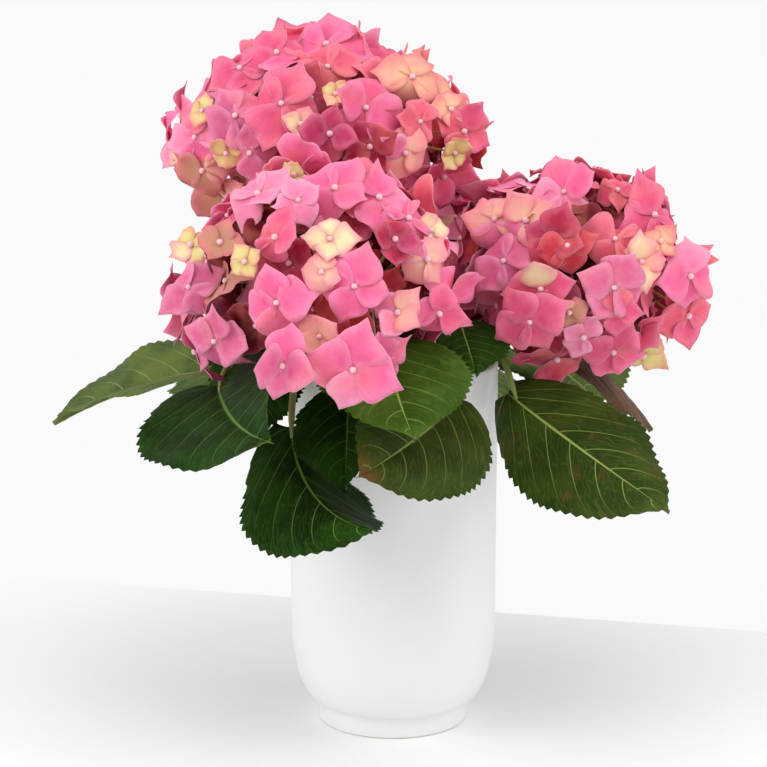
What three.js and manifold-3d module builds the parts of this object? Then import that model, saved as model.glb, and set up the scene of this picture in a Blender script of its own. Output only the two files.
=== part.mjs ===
// A florist's hydrangea in its tall ceramic pot, in millimetres, +Z up.
// The origin is the centre of the pot's flat underside.  -Y is the plant's front and +X its right.
import * as THREE from 'three';
import { mergeVertices } from 'three/addons/utils/BufferGeometryUtils.js';
import Module from 'manifold-3d';

const wasm = await Module();
wasm.setup();

// ---- driving sizes -------------------------------------------------------------------------

const GAP = 0.3;                  // clearance between touching pieces

const POT = {
  footRadius: 41.6,               // flat ring that the pot stands on
  footHeight: 12.4,               // up to the crease under the body
  creaseRadius: 42.6,
  shoulderHeight: 46,             // quarter ellipse from the crease out to the straight body
  bodyRadius: 57.3,
  rimRadius: 57.8,
  height: 206,
  wall: 4,
  floor: 9,
  chamfer: 1,                     // round the edge of the foot
  fillet: 3,                      // between the floor and the inside wall
  bendSteps: 6,                   // in the quarter ellipse
  lipSteps: 4,                    // in the rounded lip
  sides: 40,
};

const SOIL_BELOW_RIM = 18;
const SOIL_Z = POT.height - SOIL_BELOW_RIM;
const SOIL_EDGE = 1.5;            // drop of the soil's surface to the wall

const TRUNK = {
  flareRadius: 11.5,              // root flare at the soil
  neckRadius: 7.4,
  crownRadius: 8.6,               // knob that the canes rise from
  lean: 1.5,                      // of its top towards the front
  height: 17,                     // from the soil to the middle of the knob
  flareShare: 0.4,                // of its length that the root flare takes
  knobTop: 0.85,                  // of the knob's radius, where its top is cut blunt
  sides: 10,
  steps: 9,
};

const CANE = {
  footRadius: 4.2,
  tipRadius: 3.2,
  rise: 38,                       // of its first run over level, degrees
  footBend: 0.34,                 // how far it holds its first direction, for its length
  tipBend: 0.22,                  // how far it stands in line with the head's axis below it
  sides: 7,
  steps: 8,
};

const HEAD = {
  seat: 0.95,                     // floret centres lie at this part of the outline's radius
  seatJitter: 0.07,
  core: 0.55,                     // dense inside of the head, as a part of its radii
  pedicelFoot: 0.39,              // where a pedicel starts inside the core
  coreLift: 0.18,                 // how far its middle lies over the head's, as a part of the height
  stalkFoot: 0.5,                 // foot of the flower stalk below the head's centre
  stalkRadius: 2.9,
  pedicelRadius: 1.1,
  pedicelSunk: 0.2,               // how far it runs on into the floret
  tilt: 22,                       // widest turn of a floret away from straight out, degrees
  mostPressed: 16,                // how far a neighbouring head may press a floret back
  mostHeldOut: 12,                // how far a leaf may hold a floret out
  holdSteps: 3,
};

const FLORET = {
  radius: 25.5,
  unlike: 0.14,                   // widest change of a floret's size
  shoulderAngle: 29,              // degrees either side of a sepal's middle
  shoulderReach: 0.82,
  cup: 5,                         // height of the sepal tips over the floret's centre
  wave: 3,
  thickness: 1.4,
};

const LEAF = {
  thickness: 1.5,
  strips: 8,
  across: 4,
  petioleFoot: 2.3,
  petioleTip: 1.7,
  petioleSides: 5,
  petioleSteps: 6,
  petioleRise: 0.7,               // slope at which it leaves its cane
  petioleFootBend: 0.35,          // how far it holds that direction, for its length
  petioleTipBend: 0.22,           // how far it comes in along the midrib
  petioleArch: POT.height + 17,   // height of its bend over the pot's rim
  sunk: 9,                        // run of the petiole inside the blade's midrib
  sunkDepth: 0.6,                 // of its end below the midrib's upper face
  baseBluntness: 0.58,            // lower is blunter
  tipBluntness: 0.85,
  sweep: 0.13,                    // how far the margin runs ahead of the midrib, for the length
  heart: 0.06,                    // how far the lobes at the base reach back
};

// Every head is a dome of florets on its own stalk and cane.  lean tips its axis to X and Y,
// widest is the angle from that axis to its lowest florets, and fork is the compass angle at which
// its cane leaves the trunk, in degrees.
const HEADS = [
  { name: 'front', centre: [-37, -64, 250], radii: [77, 76, 70], lean: [-0.1, -0.55],
    widest: 134, fork: -125, florets: 42, seed: 1 },
  { name: 'back', centre: [-35, 58, 324], radii: [94, 80, 55], lean: [-0.05, -0.22],
    widest: 124, fork: 148, florets: 41, seed: 2 },
  { name: 'right', centre: [97, 8, 253], radii: [75, 72, 56], lean: [0.22, -0.25],
    widest: 124, fork: -22, florets: 37, seed: 3 },
  { name: 'rear', centre: [30, 104, 240], radii: [62, 58, 48], lean: [0.1, 0.4],
    widest: 120, fork: 62, florets: 24, seed: 4 },
];

const COLOUR = {
  pot: 0xe8e8e6,
  soil: 0x33271e,
  trunk: 0x6b5a44,
  cane: 0x8a8f4e,
  leaf: 0x2f4f1e,
  front: 0xf486b4,
  back: 0xe56f97,
  right: 0xee78a4,
  rear: 0xe26c98,
};

// ---- helpers -------------------------------------------------------------------------------

const radians = THREE.MathUtils.degToRad;
const vec = (x, y, z) => new THREE.Vector3(x, y, z);
const UP = vec(0, 0, 1);
const GOLDEN = Math.PI * (3 - Math.sqrt(5));

// A repeatable number from 0 to 1 for item i of a seeded family, k numbering its uses.
function draw(seed, i, k) {
  const wild = Math.sin(seed * 127.1 + i * 311.7 + k * 74.7) * 43758.5453;
  return wild - Math.floor(wild);
}

// Draw turned into a number from -1 to 1.
const swing = (seed, i, k) => 2 * draw(seed, i, k) - 1;

function solidOf(points, triangles) {
  const mesh = new wasm.Mesh({
    numProp: 3,
    vertProperties: new Float32Array(points.flatMap((p) => [p.x, p.y, p.z])),
    triVerts: new Uint32Array(triangles.flat()),
  });
  return new wasm.Manifold(mesh);
}

function solidOfGeometry(geometry) {
  geometry.deleteAttribute('normal');
  geometry.deleteAttribute('uv');
  const merged = mergeVertices(geometry, 1e-4);
  return new wasm.Manifold(new wasm.Mesh({
    numProp: 3,
    vertProperties: new Float32Array(merged.attributes.position.array),
    triVerts: new Uint32Array(merged.index.array),
  }));
}

function geometryOf(solid) {
  const mesh = solid.getMesh();
  const geometry = new THREE.BufferGeometry();
  const places = new THREE.BufferAttribute(new Float32Array(mesh.vertProperties), 3);
  geometry.setAttribute('position', places);
  geometry.setIndex(new THREE.BufferAttribute(new Uint32Array(mesh.triVerts), 1));
  geometry.computeVertexNormals();
  return geometry;
}

// A closed tapering limb along a curve, with flat ends square to it.
function limb(curve, radiusAt, steps, sides) {
  const frames = curve.computeFrenetFrames(steps, false);
  const points = [];
  const triangles = [];
  for (let i = 0; i <= steps; i += 1) {
    const centre = curve.getPointAt(i / steps);
    const radius = radiusAt(i / steps);
    for (let j = 0; j < sides; j += 1) {
      const angle = (2 * Math.PI * j) / sides;
      const offset = frames.normals[i].clone().multiplyScalar(radius * Math.cos(angle));
      offset.addScaledVector(frames.binormals[i], radius * Math.sin(angle));
      points.push(centre.clone().add(offset));
    }
  }
  for (let i = 0; i < steps; i += 1) {
    for (let j = 0; j < sides; j += 1) {
      const a = i * sides + j;
      const b = i * sides + ((j + 1) % sides);
      triangles.push([a, b, b + sides], [a, b + sides, a + sides]);
    }
  }
  const last = steps * sides;
  for (let j = 1; j < sides - 1; j += 1) {
    triangles.push([0, j + 1, j], [last, last + j, last + j + 1]);
  }
  return solidOf(points, triangles);
}

const straight = (from, to) => new THREE.LineCurve3(from, to);

function addPiece(group, name, geometry, colour, roughness) {
  const material = new THREE.MeshStandardMaterial({ color: colour, roughness, metalness: 0 });
  const mesh = new THREE.Mesh(geometry, material);
  mesh.name = name;
  group.add(mesh);
}

// ---- pot and soil --------------------------------------------------------------------------

// Half section of the pot's outside, from the foot up to the rim.
function potOutside(inset) {
  const points = [];
  const rise = POT.bodyRadius - POT.creaseRadius;
  for (let i = 0; i <= POT.bendSteps; i += 1) {
    const angle = (Math.PI / 2) * (i / POT.bendSteps);
    points.push([
      POT.creaseRadius + rise * Math.sin(angle) - inset,
      POT.footHeight + POT.shoulderHeight * (1 - Math.cos(angle)),
    ]);
  }
  points.push([POT.rimRadius - inset, POT.height - POT.wall / 2]);
  return points;
}

const INNER_FOOT = POT.creaseRadius - POT.wall;

function potGeometry() {
  const foot = [[0, 0], [POT.footRadius - POT.chamfer, 0], [POT.footRadius, POT.chamfer]];
  const outline = [...foot, ...potOutside(0)];
  const lip = POT.wall / 2;
  for (let i = 1; i < POT.lipSteps; i += 1) {
    const angle = (Math.PI * i) / POT.lipSteps;
    outline.push([POT.rimRadius - lip + lip * Math.cos(angle), POT.height - lip + lip * Math.sin(angle)]);
  }
  const inside = potOutside(POT.wall).reverse();
  outline.push(...inside.slice(0, -1));
  outline.push([INNER_FOOT, POT.floor + POT.fillet], [INNER_FOOT - POT.fillet, POT.floor], [0, POT.floor]);
  return latheAboutZ(outline, POT.sides);
}

function soilGeometry() {
  const outline = [[0, POT.floor + GAP], [INNER_FOOT - POT.fillet - GAP, POT.floor + GAP]];
  outline.push([INNER_FOOT - GAP, POT.floor + POT.fillet + GAP]);
  for (const [radius, z] of potOutside(POT.wall + GAP).slice(1, -1)) {
    outline.push([radius, z + GAP]);
  }
  const edge = POT.bodyRadius - POT.wall;
  outline.push([edge - GAP, SOIL_Z - SOIL_EDGE], [edge - 2 * SOIL_EDGE, SOIL_Z], [0, SOIL_Z]);
  return latheAboutZ(outline, POT.sides);
}

function latheAboutZ(outline, sides) {
  const points = outline.map(([radius, z]) => new THREE.Vector2(radius, z));
  const geometry = new THREE.LatheGeometry(points, sides);
  geometry.rotateX(Math.PI / 2);
  return geometry;
}

// ---- trunk and canes -----------------------------------------------------------------------

const TRUNK_LENGTH = TRUNK.height + TRUNK.crownRadius * TRUNK.knobTop;
const FORK_AT = TRUNK.height / TRUNK_LENGTH;
const trunkCurve = new THREE.QuadraticBezierCurve3(
  vec(0, 0, SOIL_Z + GAP),
  vec(0, 0, SOIL_Z + GAP + TRUNK_LENGTH / 2),
  vec(0, -TRUNK.lean, SOIL_Z + GAP + TRUNK_LENGTH),
);
const FORK = trunkCurve.getPointAt(FORK_AT);

// The short woody stem: wide at the soil, narrow above it, and a blunt knob where it forks.
function trunkSolid() {
  const radiusAt = (t) => {
    const above = (t - FORK_AT) * TRUNK_LENGTH;
    const knob = Math.sqrt(Math.max(0, TRUNK.crownRadius ** 2 - above ** 2));
    const flare = Math.max(0, 1 - t / TRUNK.flareShare) ** 2;
    const neck = TRUNK.neckRadius + (TRUNK.flareRadius - TRUNK.neckRadius) * flare;
    return t < FORK_AT ? Math.max(neck, knob) : knob;
  };
  return limb(trunkCurve, radiusAt, TRUNK.steps, TRUNK.sides);
}

const axisOf = (head) => vec(head.lean[0], head.lean[1], 1).normalize();

// Place where a head's stalk stands on the tip of its cane.
function stalkFoot(head) {
  return vec(...head.centre).addScaledVector(axisOf(head), -HEAD.stalkFoot * head.radii[2]);
}

function caneCurve(head) {
  const tip = stalkFoot(head);
  const axis = axisOf(head);
  const [compass, rise] = [radians(head.fork), radians(CANE.rise)];
  const away = vec(Math.cos(compass), Math.sin(compass), Math.tan(rise)).normalize();
  const foot = FORK.clone().addScaledVector(away, TRUNK.crownRadius + GAP);
  const length = tip.distanceTo(foot);
  const firstHandle = foot.clone().addScaledVector(away, length * CANE.footBend);
  const lastHandle = tip.clone().addScaledVector(axis, -length * CANE.tipBend);
  return new THREE.CubicBezierCurve3(foot, firstHandle, lastHandle, tip);
}

const caneRadius = (t) => CANE.footRadius + (CANE.tipRadius - CANE.footRadius) * t;

// ---- flower heads --------------------------------------------------------------------------

// Directions spread evenly over a dome about +Z, turned to the head's axis.
function domeDirection(head, i) {
  const height = 1 - ((i + 0.5) / head.florets) * (1 - Math.cos(radians(head.widest)));
  const out = Math.sqrt(1 - height ** 2);
  const angle = i * GOLDEN + head.seed;
  const local = vec(out * Math.cos(angle), out * Math.sin(angle), height);
  return local.applyQuaternion(new THREE.Quaternion().setFromUnitVectors(UP, axisOf(head)));
}

function onOutline(head, direction, part) {
  const [rx, ry, rz] = head.radii;
  const reach = 1 / Math.hypot(direction.x / rx, direction.y / ry, direction.z / rz);
  return vec(...head.centre).addScaledVector(direction, reach * part);
}

// Where floret i sits, which way it faces and how big it is.
function floretPlace(head, i) {
  const direction = domeDirection(head, i);
  const centre = onOutline(head, direction, HEAD.seat + HEAD.seatJitter * swing(head.seed, i, 1));
  const tilt = vec(swing(head.seed, i, 2), swing(head.seed, i, 3), swing(head.seed, i, 4));
  const facing = direction.clone().addScaledVector(tilt, Math.sin(radians(HEAD.tilt))).normalize();
  const size = 1 + FLORET.unlike * swing(head.seed, i, 5);
  return { centre, facing, spin: 2 * Math.PI * draw(head.seed, i, 6), size, direction };
}

// Four broad pointed sepals as one thin waved lens: 12 outline points and a centre on each face.
function floretSolid(place, seed, i) {
  const turn = new THREE.Quaternion().setFromUnitVectors(UP, place.facing);
  const cup = FLORET.cup * swing(seed, i, 7);
  const points = [vec(0, 0, FLORET.thickness / 2), vec(0, 0, -FLORET.thickness / 2)];
  for (let sepal = 0; sepal < 4; sepal += 1) {
    const outline = [
      [0, 1],
      [FLORET.shoulderAngle, FLORET.shoulderReach],
      [90 - FLORET.shoulderAngle, FLORET.shoulderReach],
    ];
    for (const [angle, reach] of outline) {
      const bearing = radians(90 * sepal + angle) + place.spin;
      const radius = FLORET.radius * place.size * reach;
      const lift = reach ** 2 * cup + FLORET.wave * reach * Math.cos(2 * bearing + sepal);
      points.push(vec(radius * Math.cos(bearing), radius * Math.sin(bearing), lift));
    }
  }
  const triangles = [];
  const around = points.length - 2;
  for (let j = 0; j < around; j += 1) {
    const a = 2 + j;
    const b = 2 + ((j + 1) % around);
    triangles.push([0, a, b], [1, b, a]);
  }
  const placed = points.map((p) => p.applyQuaternion(turn).add(place.centre));
  return solidOf(placed, triangles);
}

// A head keeps to its own side of a plane between it and each neighbour: a floret that would cross
// it is pressed back, and one that would have to go back too far is left out.
function tuckedIn(head, place) {
  const middle = vec(...head.centre);
  const support = (other, along) => Math.hypot(
    other.radii[0] * along.x,
    other.radii[1] * along.y,
    other.radii[2] * along.z,
  );
  let pressed = 0;
  for (const other of HEADS) {
    if (other === head) continue;
    const along = vec(...other.centre).sub(middle);
    const apart = along.length();
    along.normalize();
    const own = support(head, along);
    const limit = (apart * own) / (own + support(other, along)) - FLORET.cup;
    const edgeOn = Math.sqrt(Math.max(0, 1 - place.facing.dot(along) ** 2));
    const reach = place.centre.clone().sub(middle).dot(along) + FLORET.radius * place.size * edgeOn;
    const over = Math.max(0, reach - limit);
    place.centre.addScaledVector(along, -over);
    pressed += over;
  }
  return pressed < HEAD.mostPressed;
}

// The crowded inside of a head, a smaller dome that the florets stand out of.
function coreSolid(head) {
  const ball = new THREE.IcosahedronGeometry(1, 1);
  ball.scale(...head.radii.map((radius) => radius * HEAD.core));
  ball.translate(head.centre[0], head.centre[1], head.centre[2] + head.radii[2] * HEAD.coreLift);
  return solidOfGeometry(ball);
}

// Floret i with its pedicel.  One that touches a leaf or a cane is held further out, and is left out
// where it touches even so.
function floretOnStalk(head, i, obstacles) {
  const place = floretPlace(head, i);
  if (!tuckedIn(head, place)) return null;
  const from = onOutline(head, place.direction, HEAD.pedicelFoot);
  for (let held = 0; held <= HEAD.holdSteps; held += 1) {
    const to = place.centre.clone().addScaledVector(place.facing, HEAD.pedicelSunk);
    const pedicel = limb(straight(from, to), () => HEAD.pedicelRadius, 1, 3);
    const floret = floretSolid(place, head.seed, i).add(pedicel);
    if (obstacles.every((solid) => floret.minGap(solid, 1) >= GAP)) return floret;
    place.centre.addScaledVector(place.direction, HEAD.mostHeldOut / HEAD.holdSteps);
  }
  return null;
}

// Stalk, core, pedicels and florets of one head, grown together.
function headSolid(head, obstacles) {
  const foot = stalkFoot(head).addScaledVector(axisOf(head), GAP);
  const stalk = limb(straight(foot, vec(...head.centre)), () => HEAD.stalkRadius, 1, 6);
  const parts = [stalk, coreSolid(head)];
  for (let i = 0; i < head.florets; i += 1) {
    const floret = floretOnStalk(head, i, obstacles);
    if (floret) parts.push(floret);
  }
  return largestBody(wasm.Manifold.union(parts).simplify(0.05));
}

function largestBody(solid) {
  return solid.decompose().reduce((best, one) => (one.volume() > best.volume() ? one : best));
}

// ---- leaves --------------------------------------------------------------------------------

// Each leaf hangs from a cane by its petiole.  Its base is placed about the pot's axis by compass
// angle, reach and height.  From there the midrib sets out at turn and rise, swings by sway and
// sinks by droop; roll lowers its right side, twist adds roll towards the tip, and fold lifts both
// halves.  Angles in degrees.
const LEAVES = [
  { name: 'front', cane: 'front', at: 0.3, compass: -92, reach: 76, height: 231, length: 84, width: 80,
    turn: -91, rise: -17, sway: 22, droop: 16, roll: 4, twist: -4, fold: 8, curl: 0.04 },
  { name: 'front_low', cane: 'front', at: 0.5, compass: -112, reach: 64, height: 206, length: 66, width: 64,
    turn: -90, rise: -34, sway: -4, droop: 22, roll: 14, twist: 16, fold: 22, curl: 0.25 },
  { name: 'front_left', cane: 'front', at: 0.9, compass: -133, reach: 80, height: 182, length: 106, width: 78,
    turn: -84, rise: -39, sway: 40, droop: -40, roll: 0, twist: 12, fold: -24, curl: 0.1 },
  { name: 'front_right', cane: 'right', at: 0.25, compass: -59, reach: 67, height: 196,
    length: 106, width: 82, turn: -110, rise: -10, sway: -21, droop: 2, roll: -31, twist: -25, fold: 16, curl: 0.17 },
  { name: 'right_low', cane: 'right', at: 0.5, compass: -28, reach: 69, height: 194, length: 122, width: 75,
    turn: -53, rise: -19, sway: 16, droop: 5, roll: 45, twist: -26, fold: -2, curl: 0.2 },
  { name: 'right_folded', cane: 'right', at: 0.74, compass: 3, reach: 92, height: 210, length: 82, width: 56,
    turn: 23, rise: -23, sway: 6, droop: 34, roll: 22, twist: -6, fold: 0, curl: 0.22 },
  { name: 'left_low', cane: 'front', at: 0.5, compass: -149, reach: 109, height: 203, length: 111, width: 97,
    turn: -81, rise: -13, sway: 17, droop: -20, roll: 24, twist: 30, fold: 17, curl: -0.13 },
  { name: 'left_inner', cane: 'back', at: 0.3, compass: -162, reach: 74, height: 227, length: 60, width: 54,
    turn: -104, rise: -62, sway: 6, droop: 6, roll: 0, twist: 0, fold: 10, curl: 0.1 },
  { name: 'left', cane: 'back', at: 0.35, compass: -172, reach: 90, height: 203, length: 122, width: 82,
    turn: 152, rise: -8, sway: 9, droop: 23, roll: -18, twist: 7, fold: 15, curl: 0.04 },
  { name: 'left_rear', cane: 'back', at: 0.12, compass: 153, reach: 76, height: 206, length: 112, width: 84,
    turn: 122, rise: -12, sway: -6, droop: 30, roll: -22, twist: 5, fold: 14, curl: 0.15 },
  { name: 'rear_left', cane: 'back', at: 0.55, compass: 113, reach: 66, height: 217, length: 112, width: 80,
    turn: 102, rise: -16, sway: -14, droop: 26, roll: 14, twist: -5, fold: 14, curl: 0.2 },
  { name: 'rear', cane: 'rear', at: 0.45, compass: 92, reach: 70, height: 196, length: 108, width: 80,
    turn: 84, rise: -20, sway: 10, droop: 26, roll: -12, twist: 8, fold: 16, curl: 0.2 },
  { name: 'rear_low', cane: 'rear', at: 0.7, compass: 66, reach: 88, height: 192, length: 112, width: 82,
    turn: 64, rise: -18, sway: -10, droop: 30, roll: 16, twist: 5, fold: 15, curl: 0.18 },
  { name: 'right_rear', cane: 'right', at: 0.62, compass: 32, reach: 80, height: 203, length: 110, width: 80,
    turn: 50, rise: -14, sway: 6, droop: 26, roll: -18, twist: 6, fold: 14, curl: 0.16 },
  { name: 'right_inner', cane: 'right', at: 0.4, compass: -40, reach: 47, height: 231, length: 46, width: 46,
    turn: -80, rise: -20, sway: 0, droop: 10, roll: 4, twist: 0, fold: 10, curl: 0.1 },
];

// Width of the blade along its midrib, as a part of its widest.
function bladeOutline(s) {
  const { baseBluntness, tipBluntness } = LEAF;
  const peak = baseBluntness / (baseBluntness + tipBluntness);
  return (s / peak) ** baseBluntness * ((1 - s) / (1 - peak)) ** tipBluntness;
}

// Frames along the midrib: a place, the way ahead, the leaf's right side and its upper face.
function midribFrames(leaf, count) {
  const frames = [];
  const angle = radians(leaf.compass);
  let place = vec(leaf.reach * Math.cos(angle), leaf.reach * Math.sin(angle), leaf.height);
  let before = null;
  for (let i = 0; i <= count; i += 1) {
    const s = i / count;
    const turn = radians(leaf.turn + leaf.sway * s);
    const rise = radians(leaf.rise - leaf.droop * s);
    const ahead = vec(Math.cos(turn), Math.sin(turn), Math.tan(rise)).normalize();
    const side = vec(Math.sin(turn), -Math.cos(turn), 0);
    const roll = radians(leaf.roll + leaf.twist * s);
    const up = side.clone().cross(ahead).applyAxisAngle(ahead, roll);
    side.applyAxisAngle(ahead, roll);
    if (before) place = place.clone().addScaledVector(before.add(ahead), leaf.length / count / 2);
    before = ahead.clone();
    frames.push({ place, ahead, side, up });
  }
  return frames;
}

// A function giving the blade's surface at s along the midrib and t across it (-1 to 1).
function bladeSurface(leaf) {
  const count = 40;
  const frames = midribFrames(leaf, count);
  const fold = radians(leaf.fold);
  return (s, t) => {
    const wide = Math.abs(t) ** 1.5;
    const swept = LEAF.sweep * wide * (1 - s) ** 0.8 * Math.min(1, s * 6);
    const along = Math.min(s + swept - LEAF.heart * wide * (1 - s) ** 6, 1);
    const whole = Math.min(Math.floor(Math.max(along, 0) * count), count - 1);
    const part = along * count - whole;
    const a = frames[whole];
    const b = frames[whole + 1];
    const mix = (key) => a[key].clone().lerp(b[key], Math.max(part, 0));
    const half = (bladeOutline(s) * leaf.width / 2) * Math.abs(t);
    const place = mix('place');
    if (along < 0) place.addScaledVector(a.ahead, along * leaf.length);
    place.addScaledVector(mix('side'), half * Math.cos(fold) * Math.sign(t));
    return place.addScaledVector(mix('up'), half * (Math.sin(fold) - leaf.curl * Math.abs(t)));
  };
}

// The blade's two faces meet in a sharp margin all round.
function bladeSolid(leaf) {
  const surface = bladeSurface(leaf);
  const { strips, across, thickness } = LEAF;
  const points = [surface(0, 0), surface(1, 0)];
  const upper = [];
  const lower = [];
  for (let row = 1; row < strips; row += 1) {
    const s = row / strips;
    upper.push([]);
    lower.push([]);
    for (let column = 0; column <= across; column += 1) {
      const t = (2 * column) / across - 1;
      const place = surface(s, t);
      if (Math.abs(t) === 1) {
        upper[row - 1].push(points.length);
        lower[row - 1].push(points.length);
        points.push(place);
        continue;
      }
      const alongRow = surface(s, t + 0.1).sub(surface(s, t - 0.1));
      const alongRib = surface(s + 0.03, t).sub(surface(s - 0.03, t));
      const normal = alongRow.cross(alongRib).normalize().multiplyScalar(thickness / 2);
      upper[row - 1].push(points.length);
      points.push(place.clone().add(normal));
      lower[row - 1].push(points.length);
      points.push(place.clone().sub(normal));
    }
  }
  const triangles = [];
  const lastRow = strips - 2;
  for (let column = 0; column < across; column += 1) {
    for (let row = 0; row < lastRow; row += 1) {
      const corners = (face) => [
        face[row][column],
        face[row][column + 1],
        face[row + 1][column + 1],
        face[row + 1][column],
      ];
      const [a, b, c, d] = corners(upper);
      const [e, f, g, h] = corners(lower);
      triangles.push([a, b, c], [a, c, d], [e, g, f], [e, h, g]);
    }
    triangles.push([0, upper[0][column + 1], upper[0][column]], [0, lower[0][column], lower[0][column + 1]]);
    triangles.push([1, upper[lastRow][column], upper[lastRow][column + 1]]);
    triangles.push([1, lower[lastRow][column + 1], lower[lastRow][column]]);
  }
  return solidOf(points, triangles);
}

// The petiole leaves its cane square to it, arches over the rim and runs on inside the midrib.
function petioleSolid(leaf) {
  const cane = caneCurve(HEADS.find((head) => head.name === leaf.cane));
  const node = cane.getPointAt(leaf.at);
  const caneWay = cane.getTangentAt(leaf.at);
  const [first] = midribFrames(leaf, 1);
  const out = first.place.clone().sub(node);
  out.z = Math.hypot(out.x, out.y) * LEAF.petioleRise;
  out.addScaledVector(caneWay, -out.dot(caneWay)).normalize();
  const foot = node.clone().addScaledVector(out, caneRadius(leaf.at) + 1.5 * GAP);
  const span = foot.distanceTo(first.place);
  const end = first.place.clone().addScaledVector(first.ahead, LEAF.sunk);
  end.addScaledVector(first.up, -LEAF.sunkDepth);
  const firstHandle = foot.clone().addScaledVector(out, span * LEAF.petioleFootBend);
  const lastHandle = first.place.clone().addScaledVector(first.ahead, -span * LEAF.petioleTipBend);
  lastHandle.z = Math.max(lastHandle.z, LEAF.petioleArch);
  const curve = new THREE.CubicBezierCurve3(foot, firstHandle, lastHandle, end);
  const radiusAt = (t) => LEAF.petioleFoot + (LEAF.petioleTip - LEAF.petioleFoot) * t;
  return limb(curve, radiusAt, LEAF.petioleSteps, LEAF.petioleSides);
}

const leafSolid = (leaf) => largestBody(petioleSolid(leaf).add(bladeSolid(leaf)));

// ---- the plant -----------------------------------------------------------------------------

const plant = new THREE.Group();
addPiece(plant, 'pot', potGeometry(), COLOUR.pot, 0.45);
addPiece(plant, 'potting_soil', soilGeometry(), COLOUR.soil, 0.95);
addPiece(plant, 'trunk', geometryOf(trunkSolid()), COLOUR.trunk, 0.85);

const obstacles = [];
for (const head of HEADS) {
  const cane = limb(caneCurve(head), caneRadius, CANE.steps, CANE.sides);
  obstacles.push(cane);
  addPiece(plant, `cane_${head.name}`, geometryOf(cane), COLOUR.cane, 0.7);
}
for (const leaf of LEAVES) {
  const solid = leafSolid(leaf);
  obstacles.push(solid);
  addPiece(plant, `leaf_${leaf.name}`, geometryOf(solid), COLOUR.leaf, 0.5);
}
for (const head of HEADS) {
  const solid = headSolid(head, obstacles);
  addPiece(plant, `flower_head_${head.name}`, geometryOf(solid), COLOUR[head.name], 0.6);
}

export default plant;
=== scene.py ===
import functools
import math
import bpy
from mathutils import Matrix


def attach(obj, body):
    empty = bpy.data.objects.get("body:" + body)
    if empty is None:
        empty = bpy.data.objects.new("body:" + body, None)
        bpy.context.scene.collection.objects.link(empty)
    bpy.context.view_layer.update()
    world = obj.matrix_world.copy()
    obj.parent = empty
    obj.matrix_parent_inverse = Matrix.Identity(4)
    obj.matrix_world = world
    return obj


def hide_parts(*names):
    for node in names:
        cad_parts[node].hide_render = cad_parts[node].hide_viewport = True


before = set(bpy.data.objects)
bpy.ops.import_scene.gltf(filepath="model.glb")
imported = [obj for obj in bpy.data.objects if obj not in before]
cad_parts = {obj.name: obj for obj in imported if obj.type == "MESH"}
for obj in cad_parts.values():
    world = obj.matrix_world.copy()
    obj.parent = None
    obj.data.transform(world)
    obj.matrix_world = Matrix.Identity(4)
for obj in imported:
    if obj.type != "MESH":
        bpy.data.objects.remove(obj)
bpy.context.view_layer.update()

from types import SimpleNamespace as Values

import bmesh
import bpy
import numpy as np
from mathutils import Matrix, Vector, noise
from mathutils.bvhtree import BVHTree

MM = 0.001
UP = Vector((0, 0, 1))

# ---- Camera, floor and light ---------------------------------------------------------------
# A pale table in a white room.  A broad soft light stands to the left, low enough to throw a faint
# shadow to the pot's right, and weaker ones fill in from above and from the right.

PICTURE_SIDE = 767
FOCAL_PIXELS = 2404
CAMERA_AT = Vector((-0.0054, -1.3, 0.468))
CAMERA_AIM = Vector((-0.0054, 0, 0.192))
TABLE_BACK_LEFT = (-0.25, 0.27)   # two points of the table's far edge
TABLE_BACK_RIGHT = (0.24, 0.149)
TABLE_REACH = 2.5
ROOM_WHITE = 0.955                # what the camera sees behind the table
ROOM_LIGHT = 0.72


def linear(hex_code):
    """An sRGB colour such as "f5a0c0" as linear red, green, blue and alpha."""
    parts = [int(hex_code[i:i + 2], 16) / 255 for i in (0, 2, 4)]
    return [p / 12.92 if p <= 0.04045 else ((p + 0.055) / 1.055) ** 2.4 for p in parts] + [1]


def node(tree, kind, *values, output=0, **settings):
    """Adds a shader node and returns one of its outputs.  A kind in capitals is an operation of the Math
    node.  Inputs take the values in turn, or by their names, which have a capital: numbers, hex colours
    and outputs of other nodes."""
    if kind.isupper():
        settings["operation"], kind = kind, "Math"
    made = tree.nodes.new("ShaderNode" + kind)
    for key, value in settings.items():
        if key[0].islower():
            setattr(made, key, value)
    fed = list(zip([socket for socket in made.inputs if socket.enabled], values))
    fed += [(made.inputs[key], value) for key, value in settings.items() if key[0].isupper()]
    for socket, value in fed:
        if isinstance(value, bpy.types.NodeSocket):
            tree.links.new(value, socket)
        else:
            socket.default_value = linear(value) if isinstance(value, str) else value
    in_use = [socket for socket in made.outputs if socket.enabled]
    return made.outputs[output] if isinstance(output, str) else in_use[output]


def feed(shader, **outputs):
    """Links outputs of other nodes to a shader's inputs."""
    for name, output in outputs.items():
        shader.id_data.links.new(output, shader.inputs[name.replace("_", " ")])


def material(name, colour, roughness, **values):
    """A Principled material, with a function that adds a node to it, and its shader."""
    made = bpy.data.materials.new(name)
    made.use_nodes = True
    made.diffuse_color = linear(colour)
    shader = made.node_tree.nodes["Principled BSDF"]
    values.update(Base_Color=linear(colour), Roughness=roughness)
    for key, value in values.items():
        shader.inputs[key.replace("_", " ")].default_value = value
    return made, functools.partial(node, made.node_tree), shader


scene = bpy.context.scene
scene.view_settings.view_transform = "Standard"

lens = bpy.data.cameras.new("camera")
lens.sensor_width = 36
lens.lens = lens.sensor_width * FOCAL_PIXELS / PICTURE_SIDE
camera = bpy.data.objects.new("camera", lens)
camera.location = CAMERA_AT
camera.rotation_euler = (CAMERA_AIM - CAMERA_AT).to_track_quat("-Z", "Y").to_euler()
scene.collection.objects.link(camera)
scene.camera = camera

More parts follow.
